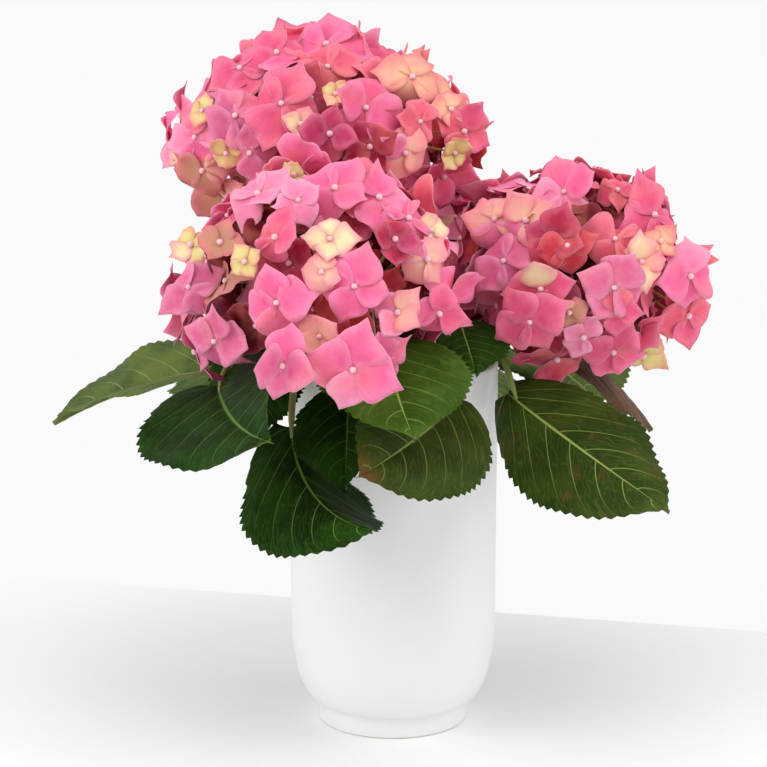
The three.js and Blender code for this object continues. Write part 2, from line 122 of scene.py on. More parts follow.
room = bpy.data.worlds.new("white room")
room.use_nodes = True
scene.world = room
add = functools.partial(node, room.node_tree)
seen = add("Background", [ROOM_WHITE] * 3 + [1], 1)
lighting = add("Background", [1, 1, 1, 1], ROOM_LIGHT)
both = add("MixShader", add("LightPath", output="Is Camera Ray"), lighting, seen)
feed(room.node_tree.nodes["World Output"], Surface=both)


def soft_light(name, at, aim, side, watts):
    data = bpy.data.lights.new(name, "AREA")
    data.shape = "SQUARE"
    data.size = side
    data.energy = watts
    light = bpy.data.objects.new(name, data)
    light.location = at
    light.rotation_euler = (Vector(aim) - Vector(at)).to_track_quat("-Z", "Y").to_euler()
    scene.collection.objects.link(light)


soft_light("window_light", at=(-1.5, -0.85, 1.1), aim=(0, 0, 0.2), side=1.1, watts=13)
soft_light("top_fill", at=(0.1, -1.0, 2.1), aim=(0, 0, 0.2), side=1.4, watts=11)
soft_light("right_fill", at=(1.7, -0.4, 1.2), aim=(0, 0, 0.2), side=1.2, watts=11)

slope = (TABLE_BACK_RIGHT[1] - TABLE_BACK_LEFT[1]) / (TABLE_BACK_RIGHT[0] - TABLE_BACK_LEFT[0])
far_edge = [(x, TABLE_BACK_LEFT[1] + slope * (x - TABLE_BACK_LEFT[0]), 0)
            for x in (TABLE_REACH, -TABLE_REACH)]
near_edge = [(-TABLE_REACH, -TABLE_REACH, 0), (TABLE_REACH, -TABLE_REACH, 0)]
table_mesh = bpy.data.meshes.new("table")
table_mesh.from_pydata(near_edge + far_edge, [], [(0, 1, 2, 3)])
# Satin lacquer: an even white with a soft sheen and no clear reflections.
table_top, _, _ = material("table, satin white lacquer", "fafafa", 0.5, Specular_IOR_Level=0.3)
table_mesh.materials.append(table_top)
table = bpy.data.objects.new("table", table_mesh)
scene.collection.objects.link(table)

# ---- Pot -----------------------------------------------------------------------------------
# A tall round cover pot of slip-cast white ceramic on a low drawn-in foot, glazed satin inside and
# out.  The ring that it stands on is wiped bare of glaze.

POT = Values(foot=41.6, foot_height=12.4, crease=42.6, shoulder=46, body=57.3, rim=57.8, height=206,
             wall=4, floor=9)
POT_SIDES = 160
POT_GLAZE, POT_GLAZE_THICK = "efeff0", "ececed"
POT_BISQUE = "d9d2c6"
FOOT_RING_WIDTH = 6
FOOT_RECESS = 1.4


def finish_piece(piece, slot, nodes, *materials):
    """Puts a made object in the scene as a piece of the plant that stands for CAD nodes."""
    for one in materials:
        piece.data.materials.append(one)
    scene.collection.objects.link(piece)
    piece.data.shade_smooth()
    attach(piece, "root")
    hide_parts(*nodes)
    return piece


def arc(centre, radius, start, stop, steps):
    """Points of an arc in a half section, angles in degrees."""
    angles = np.radians(np.linspace(start, stop, steps + 1))
    return [(centre[0] + radius * math.cos(a), centre[1] + radius * math.sin(a)) for a in angles]


def body_curve(inset, steps):
    """The quarter ellipse from the crease out to the straight body, then up to under the rim."""
    angles = np.linspace(0, math.pi / 2, steps + 1)
    curve = [(POT.crease + (POT.body - POT.crease) * math.sin(a) - inset,
              POT.foot_height + POT.shoulder * (1 - math.cos(a))) for a in angles]
    top = POT.height - POT.wall / 2
    low = curve[-1]
    return curve + [(low[0] + (POT.rim - POT.body) * part, low[1] + (top - low[1]) * part)
                    for part in np.linspace(0.1, 1, 10)]


def object_from(built, name):
    """An object from a bmesh, which is done with."""
    mesh = bpy.data.meshes.new(name)
    built.to_mesh(mesh)
    built.free()
    return bpy.data.objects.new(name, mesh)


def spun(name, profile, sides):
    """A closed body of revolution about Z from a half section in millimetres that starts and ends
    on the axis."""
    built = bmesh.new()
    points = [built.verts.new((radius * MM, 0, z * MM)) for radius, z in profile]
    edges = [built.edges.new(pair) for pair in zip(points, points[1:])]
    bmesh.ops.spin(built, geom=points + edges, cent=(0, 0, 0), axis=UP, angle=2 * math.pi,
                   steps=sides, use_merge=True)
    bmesh.ops.remove_doubles(built, verts=built.verts, dist=0.01 * MM)
    bmesh.ops.recalc_face_normals(built, faces=built.faces)
    return object_from(built, name)


def scale_for(size):
    """The scale of a pattern whose features are this many millimetres across."""
    return 1 / (size * MM)


half_wall = POT.wall / 2
inner_foot = POT.crease - POT.wall
ring_inside = POT.foot - FOOT_RING_WIDTH
profile = [(0, FOOT_RECESS), (ring_inside - 1, FOOT_RECESS), (ring_inside, 0.4), (ring_inside + 0.6, 0)]
profile += arc((POT.foot - 1, 1), 1, -90, 0, 4)
profile += [(POT.foot + 0.3, POT.foot_height / 2), (POT.crease - 0.4, POT.foot_height - 0.7)]
profile += body_curve(0, 24)
profile += arc((POT.rim - half_wall, POT.height - half_wall), half_wall, 15, 165, 8)
profile += body_curve(POT.wall, 24)[::-1]
profile += arc((inner_foot - 3, POT.floor + 3), 3, 0, -90, 4) + [(0, POT.floor)]

# A satin glaze spreads its highlights wide, and is a shade greyer where it pooled.  Its pinholes are
# drawn coarser than life, to show at all.
glaze, add, shader = material("ceramic, satin white glaze", POT_GLAZE, 0.4, Specular_IOR_Level=0.35,
                              Coat_Weight=0.08, Coat_Roughness=0.35)
place = add("TexCoord", output="Object")
cloud = add("TexNoise", Vector=place, Scale=scale_for(71.43), Detail=3)
tone = add("Mix", add("MapRange", cloud, 0.3, 0.7), POT_GLAZE_THICK, POT_GLAZE, data_type="RGBA")
gloss = add("MapRange", cloud, 0, 1, 0.34, 0.46)
speck = add("TexNoise", Vector=place, Scale=scale_for(1.613), Detail=2)
height = add("MULTIPLY_ADD", cloud, 6, speck)
relief = add("Bump", Height=height, Strength=0.25, Distance=0.00008)
feed(shader, Base_Color=tone, Roughness=gloss, Normal=relief)

# Bare fired clay: matt, warmer than the glaze and finely gritty.
bisque, add, shader = material("ceramic, unglazed foot ring", POT_BISQUE, 0.85)
grit = add("TexNoise", Vector=add("TexCoord", output="Object"), Scale=scale_for(1.111))
feed(shader, Normal=add("Bump", Height=grit, Strength=0.5, Distance=0.0001))

pot = finish_piece(spun("pot_glazed", profile, POT_SIDES), "pot", ["pot"], glaze, bisque)
for face in pot.data.polygons:
    middle = face.center / MM
    on_ring = middle.z < 0.5 and math.hypot(middle.x, middle.y) > ring_inside - 1
    face.material_index = 1 if on_ring and face.normal.z < -0.5 else 0

# ---- Potting soil --------------------------------------------------------------------------
# Dark peat and composted bark that fills the pot to just under its rim, loose and lumpy on top, with
# chips of bark and white grains of perlite lying in it.

SOIL_TOP = POT.height - 18
SOIL_EDGE = 1.5
SOIL_LUMP = 1.3
SOIL_RINGS, SOIL_SPOKES = 30, 120
TRUNK_CLEAR = 12
BARK_CHIPS, PERLITE_GRAINS = 420, 130


def draw(seed, i, k):
    """A repeatable number from 0 to 1 for item i of a seeded family, k numbering its uses."""
    wild = math.sin(seed * 127.1 + i * 311.7 + k * 74.7) * 43758.5453
    return wild - math.floor(wild)


def swing(seed, i, k):
    """draw() turned into a number from -1 to 1."""
    return 2 * draw(seed, i, k) - 1


def shape(name, points, faces):
    """An object from points in millimetres and faces."""
    mesh = bpy.data.meshes.new(name)
    mesh.from_pydata(np.asarray(points) * MM, [], faces)
    return bpy.data.objects.new(name, mesh)


def soil_height(x, y):
    """How far the soil's loose surface stands over or under its mean level."""
    lumps = noise.fractal(Vector((x, y, 0)) / 7, 1.0, 2.1, 4) * SOIL_LUMP
    edge = POT.body - POT.wall
    return lumps * min(1, (edge - math.hypot(x, y)) / 6) - SOIL_LUMP


edge = POT.body - POT.wall - 0.3
soil_profile = [(0, POT.floor + 0.3), (inner_foot - 3.3, POT.floor + 0.3),
                (inner_foot - 0.3, POT.floor + 3.3)]
soil_profile += [(radius, z + 0.3) for radius, z in body_curve(POT.wall + 0.3, 10)[1:11]]
soil_profile += [(edge, SOIL_TOP - SOIL_EDGE - SOIL_LUMP)]
soil_profile += [(edge * (1 - i / SOIL_RINGS), SOIL_TOP) for i in range(1, SOIL_RINGS + 1)]
soil = spun("soil_surface", soil_profile, SOIL_SPOKES)
for vertex in soil.data.vertices:
    x, y, z = vertex.co / MM
    if z > SOIL_TOP - 0.1:
        vertex.co.z += soil_height(x, y) * MM

# Moist crumbs, dull, nearly black in the gaps: darker where their bump lies low, partly as painted shade.
peat, add, shader = material("peat, moist and crumbly", "2e231a", 0.95, Specular_IOR_Level=0.2)
place = add("TexCoord", output="Object")
crumbs = add("TexNoise", Vector=place, Scale=scale_for(3.846), Detail=6, Roughness=0.7)
tone = add("Mix", add("MapRange", crumbs, 0.35, 0.7), "1d150f", "4a3a2b", data_type="RGBA")
feed(shader, Base_Color=tone, Normal=add("Bump", Height=crumbs, Strength=0.9, Distance=0.0012))
finish_piece(soil, "potting_soil", ["potting_soil"], peat)

# Torn bark, dull brown with paler fibres.
bark_chip, add, shader = material("composted bark chips", "5a4330", 0.9)
fibre = add("TexNoise", Vector=add("TexCoord", output="Object"), Scale=scale_for(2.381))
feed(shader, Base_Color=add("Mix", add("MapRange", fibre, 0.3, 0.7), "3a2a1d", "6e5239", data_type="RGBA"))
# Blown glass foam, chalky white.
perlite, _, _ = material("expanded perlite", "dedad0", 0.9)


def scattered(name, count, seed, sizes, flatness):
    """Small angular lumps lying on the soil, joined."""
    built = bmesh.new()
    for i in range(count):
        radius = math.sqrt(draw(seed, i, 1)) * (edge - 4 - TRUNK_CLEAR) + TRUNK_CLEAR
        angle = 2 * math.pi * draw(seed, i, 2)
        x, y = radius * math.cos(angle), radius * math.sin(angle)
        size = sizes[0] + (sizes[1] - sizes[0]) * draw(seed, i, 3) ** 2
        lump = bmesh.ops.create_icosphere(built, subdivisions=1, radius=size / 2 * MM)["verts"]
        for k, vertex in enumerate(lump):
            vertex.co *= 1 + 0.3 * swing(seed, i, 10 + k)
        stretch = Matrix.Diagonal((1, 0.45 + 0.4 * draw(seed, i, 4), flatness, 1))
        turn = Matrix.Rotation(2 * math.pi * draw(seed, i, 5), 4, "Z")
        turn = turn @ Matrix.Rotation(0.5 * swing(seed, i, 6), 4, "X")
        level = SOIL_TOP + soil_height(x, y) + size * flatness * 0.2
        put = Matrix.Translation(Vector((x, y, level)) * MM) @ turn @ stretch
        bmesh.ops.transform(built, matrix=put, verts=lump)
    return object_from(built, name)


for name, count, seed, sizes, flatness, skin in (
        ("soil_bark_chips", BARK_CHIPS, 11, (2, 7.5), 0.4, bark_chip),
        ("soil_perlite_grains", PERLITE_GRAINS, 12, (1.2, 3), 0.9, perlite)):
    lumps = scattered(name, count, seed, sizes, flatness)
    finish_piece(lumps, "potting_soil", ["potting_soil"], skin).data.shade_flat()

# ---- Trunk ---------------------------------------------------------------------------------
# The short old stem that has been cut back year after year: grey-brown wood with peeling furrowed
# bark, wide where it enters the soil and a blunt knob where the young canes rise.

GAP = 0.3
TRUNK = Values(flare=11.5, neck=7.4, crown=8.6, lean=1.5, height=17, flare_share=0.4, knob_top=0.85)
TRUNK_SIDES, TRUNK_STEPS = 72, 60
BARK_FURROW = 0.9


def bezier(points, t):
    """A place on a Bezier curve with any number of handles."""
    points = list(points)
    while len(points) > 1:
        points = [a.lerp(b, t) for a, b in zip(points, points[1:])]
    return points[0]


def by_length(points, steps):
    """Places at even lengths along a Bezier curve, as a list of steps + 1 vectors."""
    fine = [bezier(points, i / 200) for i in range(201)]
    lengths = np.cumsum([0] + [(b - a).length for a, b in zip(fine, fine[1:])])
    wanted = np.linspace(0, lengths[-1], steps + 1)
    return [bezier(points, t) for t in np.interp(wanted, lengths, np.linspace(0, 1, 201))]


def taken_apart(built):
    """The points and faces of a bmesh, which is done with."""
    built.verts.index_update()
    points = np.array([vertex.co for vertex in built.verts])
    faces = [tuple(vertex.index for vertex in face.verts) for face in built.faces]
    built.free()
    return points, faces


@functools.cache
def tube(steps, sides):
    """A closed tube: the step along it and the angle of each point, and its faces."""
    built = bmesh.new()
    bmesh.ops.create_cone(built, cap_ends=True, segments=sides, radius1=1, radius2=1, depth=steps)
    rails = [edge for edge in built.edges if abs(edge.verts[0].co.z - edge.verts[1].co.z) > 0.5]
    bmesh.ops.subdivide_edges(built, edges=rails, cuts=steps - 1)
    points, faces = taken_apart(built)
    steps_along = [round(z + steps / 2) for _, _, z in points]
    return steps_along, [math.atan2(y, x) for x, y, _ in points], faces


def limb(path, radii, sides, relief=None):
    """Points and faces of a closed tapering limb along a path.  relief(step, angle) adds to its
    radius."""
    path = [Vector(p) for p in path]
    ways = [(path[min(i + 1, len(path) - 1)] - path[max(i - 1, 0)]).normalized()
            for i in range(len(path))]
    across = ways[0].orthogonal().normalized()
    frames = []
    for way in ways:
        across = (across - way * across.dot(way)).normalized()
        frames.append((across, way.cross(across)))
    steps_along, angles, faces = tube(len(path) - 1, sides)
    points = []
    for i, angle in zip(steps_along, angles):
        radius = radii[i] + (relief(i, angle) if relief else 0)
        across, beside = frames[i]
        points.append(path[i] + (across * math.cos(angle) + beside * math.sin(angle)) * radius)
    return points, faces


class Heap:
    """Points and faces of many small things that are joined into one piece."""

    def __init__(self):
        self.points, self.faces = [], []

    def add(self, points, faces):
        first = len(self.points)
        self.points.extend(points)
        self.faces.extend(tuple(first + k for k in face) for face in faces)

    def shape(self, name):
        return shape(name, self.points, self.faces)


trunk_length = TRUNK.height + TRUNK.crown * TRUNK.knob_top
fork_at = TRUNK.height / trunk_length
trunk_foot = Vector((0, 0, SOIL_TOP + GAP))
trunk_curve = [trunk_foot, trunk_foot + UP * trunk_length / 2,
               trunk_foot + Vector((0, -TRUNK.lean, trunk_length))]
trunk_path = by_length(trunk_curve, TRUNK_STEPS)
FORK = trunk_path[round(fork_at * TRUNK_STEPS)]


def trunk_radius(t):
    above = (t - fork_at) * trunk_length
    knob = math.sqrt(max(0, TRUNK.crown ** 2 - above ** 2))
    flare = max(0, 1 - t / TRUNK.flare_share) ** 2
    neck = TRUNK.neck + (TRUNK.flare - TRUNK.neck) * flare
    return max(neck, knob) if t < fork_at else knob


def furrows(step, angle):
    """Long peeling ridges of bark that fork and join, with root ridges at the foot."""
    t = step / TRUNK_STEPS
    spot = Vector((math.cos(angle) * 3.2, math.sin(angle) * 3.2, t * 2.2))
    ridges = abs(noise.fractal(spot, 0.9, 2.2, 4))
    roots = 1.2 * max(0, 0.3 - t) * math.cos(5 * angle + 1) * 3
    return (0.35 - ridges) * BARK_FURROW * 2 + roots


trunk_radii = [trunk_radius(i / TRUNK_STEPS) - GAP for i in range(TRUNK_STEPS + 1)]
trunk = shape("trunk_bark", *limb(trunk_path, trunk_radii, TRUNK_SIDES, furrows))

# Weathered bark: grey-brown, dull, in long peeling strips.
bark, add, shader = material("hydrangea bark, old and peeling", "6b5a44", 0.9)
long_way = add("Mapping", Vector=add("TexCoord", output="Object"), Scale=(1, 1, 0.25))
strips = add("TexNoise", Vector=long_way, Scale=scale_for(2.381), Detail=5, Roughness=0.65)
tone = add("Mix", add("MapRange", strips, 0.3, 0.72), "3d3023", "94805f", data_type="RGBA")
feed(shader, Base_Color=tone, Normal=add("Bump", Height=strips, Strength=0.8, Distance=0.0006))
finish_piece(trunk, "trunk", ["trunk"], bark)

# ---- Canes ---------------------------------------------------------------------------------
# This year's stems, one to each flower head: smooth green wood turning brown at the foot, speckled
# with corky pores, and swollen into a ring wherever a pair of leaves is set.

CANE = Values(foot=4.2, tip=3.2, rise=38, foot_bend=0.34, tip_bend=0.22)
CANE_SIDES, CANE_STEPS = 28, 90
PORE_HEIGHT = 0.3
NODE_SWELL = 0.7

HEAD = Values(seat=0.95, seat_jitter=0.07, stalk_foot=0.5, tilt=22, most_pressed=16)
HEADS = {
    "front": Values(centre=Vector((-37, -64, 250)), radii=(77, 76, 70), lean=(-0.1, -0.55), widest=134,
                    fork=-125, seed=1),
    "back": Values(centre=Vector((-35, 58, 324)), radii=(94, 80, 55), lean=(-0.05, -0.22), widest=124,
                   fork=148, seed=2),
    "right": Values(centre=Vector((97, 8, 253)), radii=(75, 72, 56), lean=(0.22, -0.25), widest=124,
                    fork=-22, seed=3),
    "rear": Values(centre=Vector((30, 104, 240)), radii=(62, 58, 48), lean=(0.1, 0.4), widest=120,
                   fork=62, seed=4),
}
LEAF_NODES = {"front": (0.3, 0.5, 0.9), "back": (0.12, 0.33, 0.55), "right": (0.25, 0.4, 0.62),
              "rear": (0.45, 0.7)}


def axis_of(head):
    return Vector((*head.lean, 1)).normalized()


def stalk_foot(head):
    """Where a head's stalk stands on the tip of its cane."""
    return head.centre - axis_of(head) * HEAD.stalk_foot * head.radii[2]


def cane_curve(head):
    tip = stalk_foot(head)
    compass = math.radians(head.fork)
    away = Vector((math.cos(compass), math.sin(compass), math.tan(math.radians(CANE.rise))))
    away.normalize()
    foot = FORK + away * (TRUNK.crown + GAP)
    length = (tip - foot).length
    return [foot, foot + away * length * CANE.foot_bend,
            tip - axis_of(head) * length * CANE.tip_bend, tip]


def cane_radius(t):
    return CANE.foot + (CANE.tip - CANE.foot) * t


# Young bark: smooth and dull, green in patches of brown, with small raised dark pores.
green_wood, add, shader = material("young hydrangea wood, green turning brown", "8a8f4e", 0.6)
place = add("TexCoord", output="Object")
patches = add("MapRange", add("TexNoise", Vector=place, Scale=scale_for(11.11), Detail=4), 0.32, 0.62)
tone = add("Mix", patches, "6f5a38", "8f9a52", data_type="RGBA")
pores = add("MapRange", add("TexVoronoi", Vector=place, Scale=scale_for(1.613)), 0.12, 0.2, 1, 0)
speckled = add("Mix", pores, tone, "5b3a30", data_type="RGBA")
feed(shader, Base_Color=speckled, Normal=add("Bump", Height=pores, Strength=0.4, Distance=0.0003))

obstacle_points, obstacle_faces = [], []


def stand_in_way(points, faces):
    """Keeps florets off this limb or leaf."""
    first = len(obstacle_points)
    obstacle_points.extend(Vector(p) for p in points)
    obstacle_faces.extend(tuple(first + int(k) for k in face) for face in faces)


for head_name, head in HEADS.items():
    def swelling(step, angle, head=head, head_name=head_name):
        t = step / CANE_STEPS
        ring = sum(math.exp(-((t - at) / 0.025) ** 2) for at in LEAF_NODES[head_name])
        spot = Vector((math.cos(angle) * 4, math.sin(angle) * 4, t * 30 + head.seed * 9))
        return NODE_SWELL * ring + PORE_HEIGHT * max(0, noise.noise(spot) - 0.2) * 2

    path = by_length(cane_curve(head), CANE_STEPS)
    radii = [cane_radius(i / CANE_STEPS) - 0.1 for i in range(CANE_STEPS + 1)]
    points, faces = limb(path, radii, CANE_SIDES, swelling)
    stand_in_way(points, faces)
    finish_piece(shape(f"stem_{head_name}", points, faces), "canes", [f"cane_{head_name}"], green_wood)

# ---- Leaves --------------------------------------------------------------------------------
# Broad pointed leaves, quilted between their veins and saw-toothed all round.  The upper face is dark
# and slightly glossy with thin pale veins, the underside paler with the veins raised.

LEAF = Values(thickness=0.55, petiole_foot=2.3, petiole_tip=1.7, petiole_rise=0.7, foot_bend=0.35,
              tip_bend=0.22, arch=POT.height + 17, sunk=9, sunk_depth=0.6, base=0.58, tip=0.85,
              sweep=0.13, heart=0.06)
TEETH = 21                        # on each side
TOOTH = 1.25
ROWS_PER_TOOTH = 4
COLUMNS = 30
VEIN_PAIRS = 6.4
VEIN_FORWARD = 0.36               # how far the lowest side vein runs ahead, for the length
VEIN_ARCH = 1.08                  # over 1 the side veins arch forward
FAN_VEINS = 1.5                   # side veins that serve the lobes at the base
QUILT = 0.45
RIPPLE = 1.6
MIDRIB = 0.7
PETIOLE_STEPS, PETIOLE_SIDES = 26, 12
CANE_PLACES = 100                 # a leaf may stand at any of these along its cane
STALK_GREEN, STALK_FLUSH = "7f9046", "93704a"
TIP_PINCH, TIP_SPAN = 0.65, 0.08  # how much and how far the blade is drawn in at its tip

# A leaf starts at its compass, reach and height from the pot's axis, heads off by turn and rise, and
# bends on its way by sway, droop and twist, in degrees.
LEAF_VALUES = ("cane at compass reach height length width turn rise sway droop roll twist fold curl "
               "tone").split()
LEAF_ROWS = {
    "front": ("front", 0.3, -92, 76, 231, 84, 80, -91, -17, 22, 16, 4, -4, 8, 0.04, "bright"),
    "front_low": ("front", 0.5, -112, 64, 206, 66, 64, -90, -34, -4, 22, 14, 16, 22, 0.25, "deep"),
    "front_left": ("front", 0.9, -133, 80, 182, 106, 78, -84, -39, 40, -40, 0, 12, -24, 0.1, "dark"),
    "front_right": ("right", 0.25, -59, 67, 196, 106, 82, -110, -10, -21, 2, -31, -25, 16, 0.17,
                    "brown_tipped"),
    "right_low": ("right", 0.5, -28, 69, 194, 122, 75, -53, -19, 16, 5, 45, -26, -2, 0.2, "blotched"),
    "right_folded": ("right", 0.74, 3, 92, 210, 82, 56, 23, -23, 6, 34, 22, -6, 0, 0.22, "withered"),
    "left_low": ("front", 0.5, -149, 109, 203, 111, 97, -81, -13, 17, -20, 24, 30, 17, -0.13, "deep"),
    "left_inner": ("back", 0.3, -162, 74, 227, 60, 54, -104, -62, 6, 6, 0, 0, 10, 0.1, "deep"),
    "left": ("back", 0.35, -172, 90, 203, 122, 82, 152, -8, 9, 23, -18, 7, 15, 0.04, "olive"),
    "left_rear": ("back", 0.12, 153, 76, 206, 112, 84, 122, -12, -6, 30, -22, 5, 14, 0.15, "olive"),
    "rear_left": ("back", 0.55, 113, 66, 217, 112, 80, 102, -16, -14, 26, 14, -5, 14, 0.2, "dark"),
    "rear": ("rear", 0.45, 92, 70, 196, 108, 80, 84, -20, 10, 26, -12, 8, 16, 0.2, "bright"),
    "rear_low": ("rear", 0.7, 66, 88, 192, 112, 82, 64, -18, -10, 30, 16, 5, 15, 0.18, "dark"),
    "right_rear": ("right", 0.62, 32, 80, 203, 110, 80, 50, -14, 6, 26, -18, 6, 14, 0.16, "blotched"),
    "right_inner": ("right", 0.4, -40, 47, 231, 46, 46, -80, -20, 0, 10, 4, 0, 10, 0.1, "dark"),
}
LEAVES = {name: Values(**dict(zip(LEAF_VALUES, row))) for name, row in LEAF_ROWS.items()}
TONES = {                         # upper face, its shaded parts, veins, tip, blotches
    # deep: darker than the leaves' own green, partly painted shade for the leaves low under the heads.
    "deep": ("1c3e08", "122c04", "64863a", "1c3e08", "1c3e08"),
    "dark": ("24460e", "162e08", "80a04c", "24460e", "24460e"),
    "bright": ("4a6820", "32500f", "9cb45c", "50742a", "466c22"),
    "olive": ("5e7030", "46582a", "98a868", "5a6e34", "5a6e34"),
    "brown_tipped": ("3a4c18", "2b3c10", "90a054", "6a4a24", "40401c"),
    "blotched": ("3a4e16", "283c0e", "9cae5a", "4a5a24", "4c401a"),
    "withered": ("745843", "483527", "b8a28c", "84694f", "5a4231"),
}


def blade_outline(s):
    """Width of the blade along its midrib, as a part of its widest."""
    peak = LEAF.base / (LEAF.base + LEAF.tip)
    return (s / peak) ** LEAF.base * ((1 - s) / (1 - peak)) ** LEAF.tip


def midrib_frames(leaf, count):
    """Places along the midrib, with the way ahead, the leaf's right side and its upper face."""
    s = np.linspace(0, 1, count + 1)
    turn = np.radians(leaf.turn + leaf.sway * s)
    rise = np.radians(leaf.rise - leaf.droop * s)
    roll = np.radians(leaf.roll + leaf.twist * s)[:, None]
    level = np.stack([np.sin(turn), -np.cos(turn), 0 * s], axis=1)
    ahead = np.stack([np.cos(rise) * np.cos(turn), np.cos(rise) * np.sin(turn), np.sin(rise)], axis=1)
    upright = np.cross(level, ahead)
    side = level * np.cos(roll) + np.cross(ahead, level) * np.sin(roll)
    up = upright * np.cos(roll) + np.cross(ahead, upright) * np.sin(roll)
    steps = (ahead[1:] + ahead[:-1]) * leaf.length / count / 2
    compass = math.radians(leaf.compass)
    start = np.array([leaf.reach * math.cos(compass), leaf.reach * math.sin(compass), leaf.height])
    place = start + np.concatenate([[[0, 0, 0]], np.cumsum(steps, axis=0)])
    return s, place, ahead, side, up


def blade_places(leaf, s, t, half_width):
    """Places on the blade at s along the midrib and t across it, both arrays of one shape."""
    stations, place, ahead, side, up = midrib_frames(leaf, 40)
    wide = np.abs(t) ** 1.5
    swept = LEAF.sweep * wide * (1 - s) ** 0.8 * np.minimum(1, s * 6)
    along = np.minimum(s + swept - LEAF.heart * wide * (1 - s) ** 6, 1)

    def at(rows):
        return np.stack([np.interp(along, stations, rows[:, k]) for k in range(3)], axis=-1)

    fold = math.radians(leaf.fold)
    before = np.minimum(along, 0)[..., None] * leaf.length
    half = (half_width * np.abs(t))[..., None]
    height = half * (math.sin(fold) - leaf.curl * np.abs(t)[..., None])
    level = half * math.cos(fold) * np.sign(t)[..., None]
    return at(place) + ahead[0] * before + at(side) * level + at(up) * height


def thin_sheet(columns, rows):
    """A thin closed sheet as numbers: the column and row of each point, whether it lies on the back,
    and the faces, those of the back marked."""
    built = bmesh.new()
    bmesh.ops.create_grid(built, x_segments=columns, y_segments=rows, size=1)
    bmesh.ops.solidify(built, geom=list(built.faces), thickness=0.1)
    bmesh.ops.recalc_face_normals(built, faces=built.faces)
    places, faces = taken_apart(built)
    faces = np.array(faces)
    column = np.rint((places[:, 0] + 1) / 2 * columns).astype(int)
    row = np.rint((places[:, 1] + 1) / 2 * rows).astype(int)
    is_back = places[:, 2] < places[:, 2].mean()
    return column, row, is_back, faces, is_back[faces].all(axis=1)


def veins_at(s, a):
    """The side vein that passes here, counted along the midrib: whole numbers lie on a vein."""
    forward = VEIN_FORWARD * np.maximum(a, 1e-3) ** VEIN_ARCH
    past = s - forward
    root = np.sqrt(np.maximum(0, 1 - 4 * forward * past))
    return np.where(past > 0, 2 * past / (1 + root) * VEIN_PAIRS, past / forward * FAN_VEINS)


BLADE_ROWS = TEETH * ROWS_PER_TOOTH
BLADE = thin_sheet(COLUMNS, BLADE_ROWS)


def blade(leaf, number):
    """Points of one closed leaf blade, with their places in its pattern."""
    s_line = np.linspace(1 / BLADE_ROWS, 1, BLADE_ROWS + 1)
    s, t = np.meshgrid(s_line, np.linspace(-1, 1, COLUMNS + 1), indexing="ij")
    a = np.abs(t)
    phase = (np.arange(BLADE_ROWS + 1) % ROWS_PER_TOOTH) / (ROWS_PER_TOOTH - 1)
    saw = phase[:, None] ** 0.9 * a ** 12
    tooth = TOOTH * np.clip(s / 0.15 - 0.3, 0, 1) * np.clip((1 - s) / 0.08, 0.1, 1)
    half = blade_outline(s) * leaf.width / 2 * (1 - TIP_PINCH * np.exp((s - 1) / TIP_SPAN))
    half = half - tooth * (1 - 1.6 * saw) * a ** 12
    places = blade_places(leaf, s, t, np.maximum(half, 0.2))
    normals = np.cross(np.gradient(places, axis=1), np.gradient(places, axis=0))
    normals /= np.linalg.norm(normals, axis=-1, keepdims=True)
    vein = veins_at(s, a) + 0.25 * np.sign(t)
    puff = np.sin(np.pi * (vein - np.floor(vein))) ** 0.6
    lift = QUILT * puff * np.minimum(1, a * 5) * (1 - a ** 5)
    lift += RIPPLE * a ** 3 * np.sin(2 * np.pi * (s * 2.7 + draw(21, number, 1)) + 2.5 * np.sign(t))
    lift -= MIDRIB * np.exp(-(a / 0.035) ** 2)
    upper = places + normals * lift[..., None]
    rib = 1.3 * np.exp(-(a / 0.04) ** 2) + 0.35 * np.exp(-(puff / 0.35) ** 2) * (1 - a)
    lower = upper - normals * ((LEAF.thickness + rib) * (1 - 0.9 * a ** 8))[..., None]
    column, row, is_back, _, _ = BLADE
    points = np.where(is_back[:, None], lower[row, column], upper[row, column])
    return points, np.stack([t / 2 + 0.5, s], axis=-1)[row, column]


def add_map(piece, name, places):
    """Adds a UV map from one (u, v) place for each face corner."""
    layer = piece.data.uv_layers.new(name=name)
    layer.uv.foreach_set("vector", np.asarray(places, dtype=np.float32).ravel())


SMOOTH = dict(interpolation_type="SMOOTHSTEP")


def vein_nodes(add, s, a):
    """The same count of side veins as veins_at, in shader nodes."""
    forward = add("MULTIPLY", add("POWER", a, VEIN_ARCH), VEIN_FORWARD)
    past = add("SUBTRACT", s, forward)
    product = add("MULTIPLY", forward, past)
    under_root = add("MAXIMUM", add("MULTIPLY_ADD", product, -4, 1), 0)
    root = add("ADD", add("SQRT", under_root), 1)
    row = add("DIVIDE", add("MULTIPLY", past, 2 * VEIN_PAIRS), root)
    fan = add("DIVIDE", add("MULTIPLY", past, FAN_VEINS), forward)
    return add("Mix", add("GREATER_THAN", past, 0), fan, row, data_type="FLOAT")


def layered(add, ground, *layers):
    """A colour with others laid over it, each by its own share."""
    for share, colour in layers:
        ground = add("Mix", share, ground, colour, data_type="RGBA")
    return ground


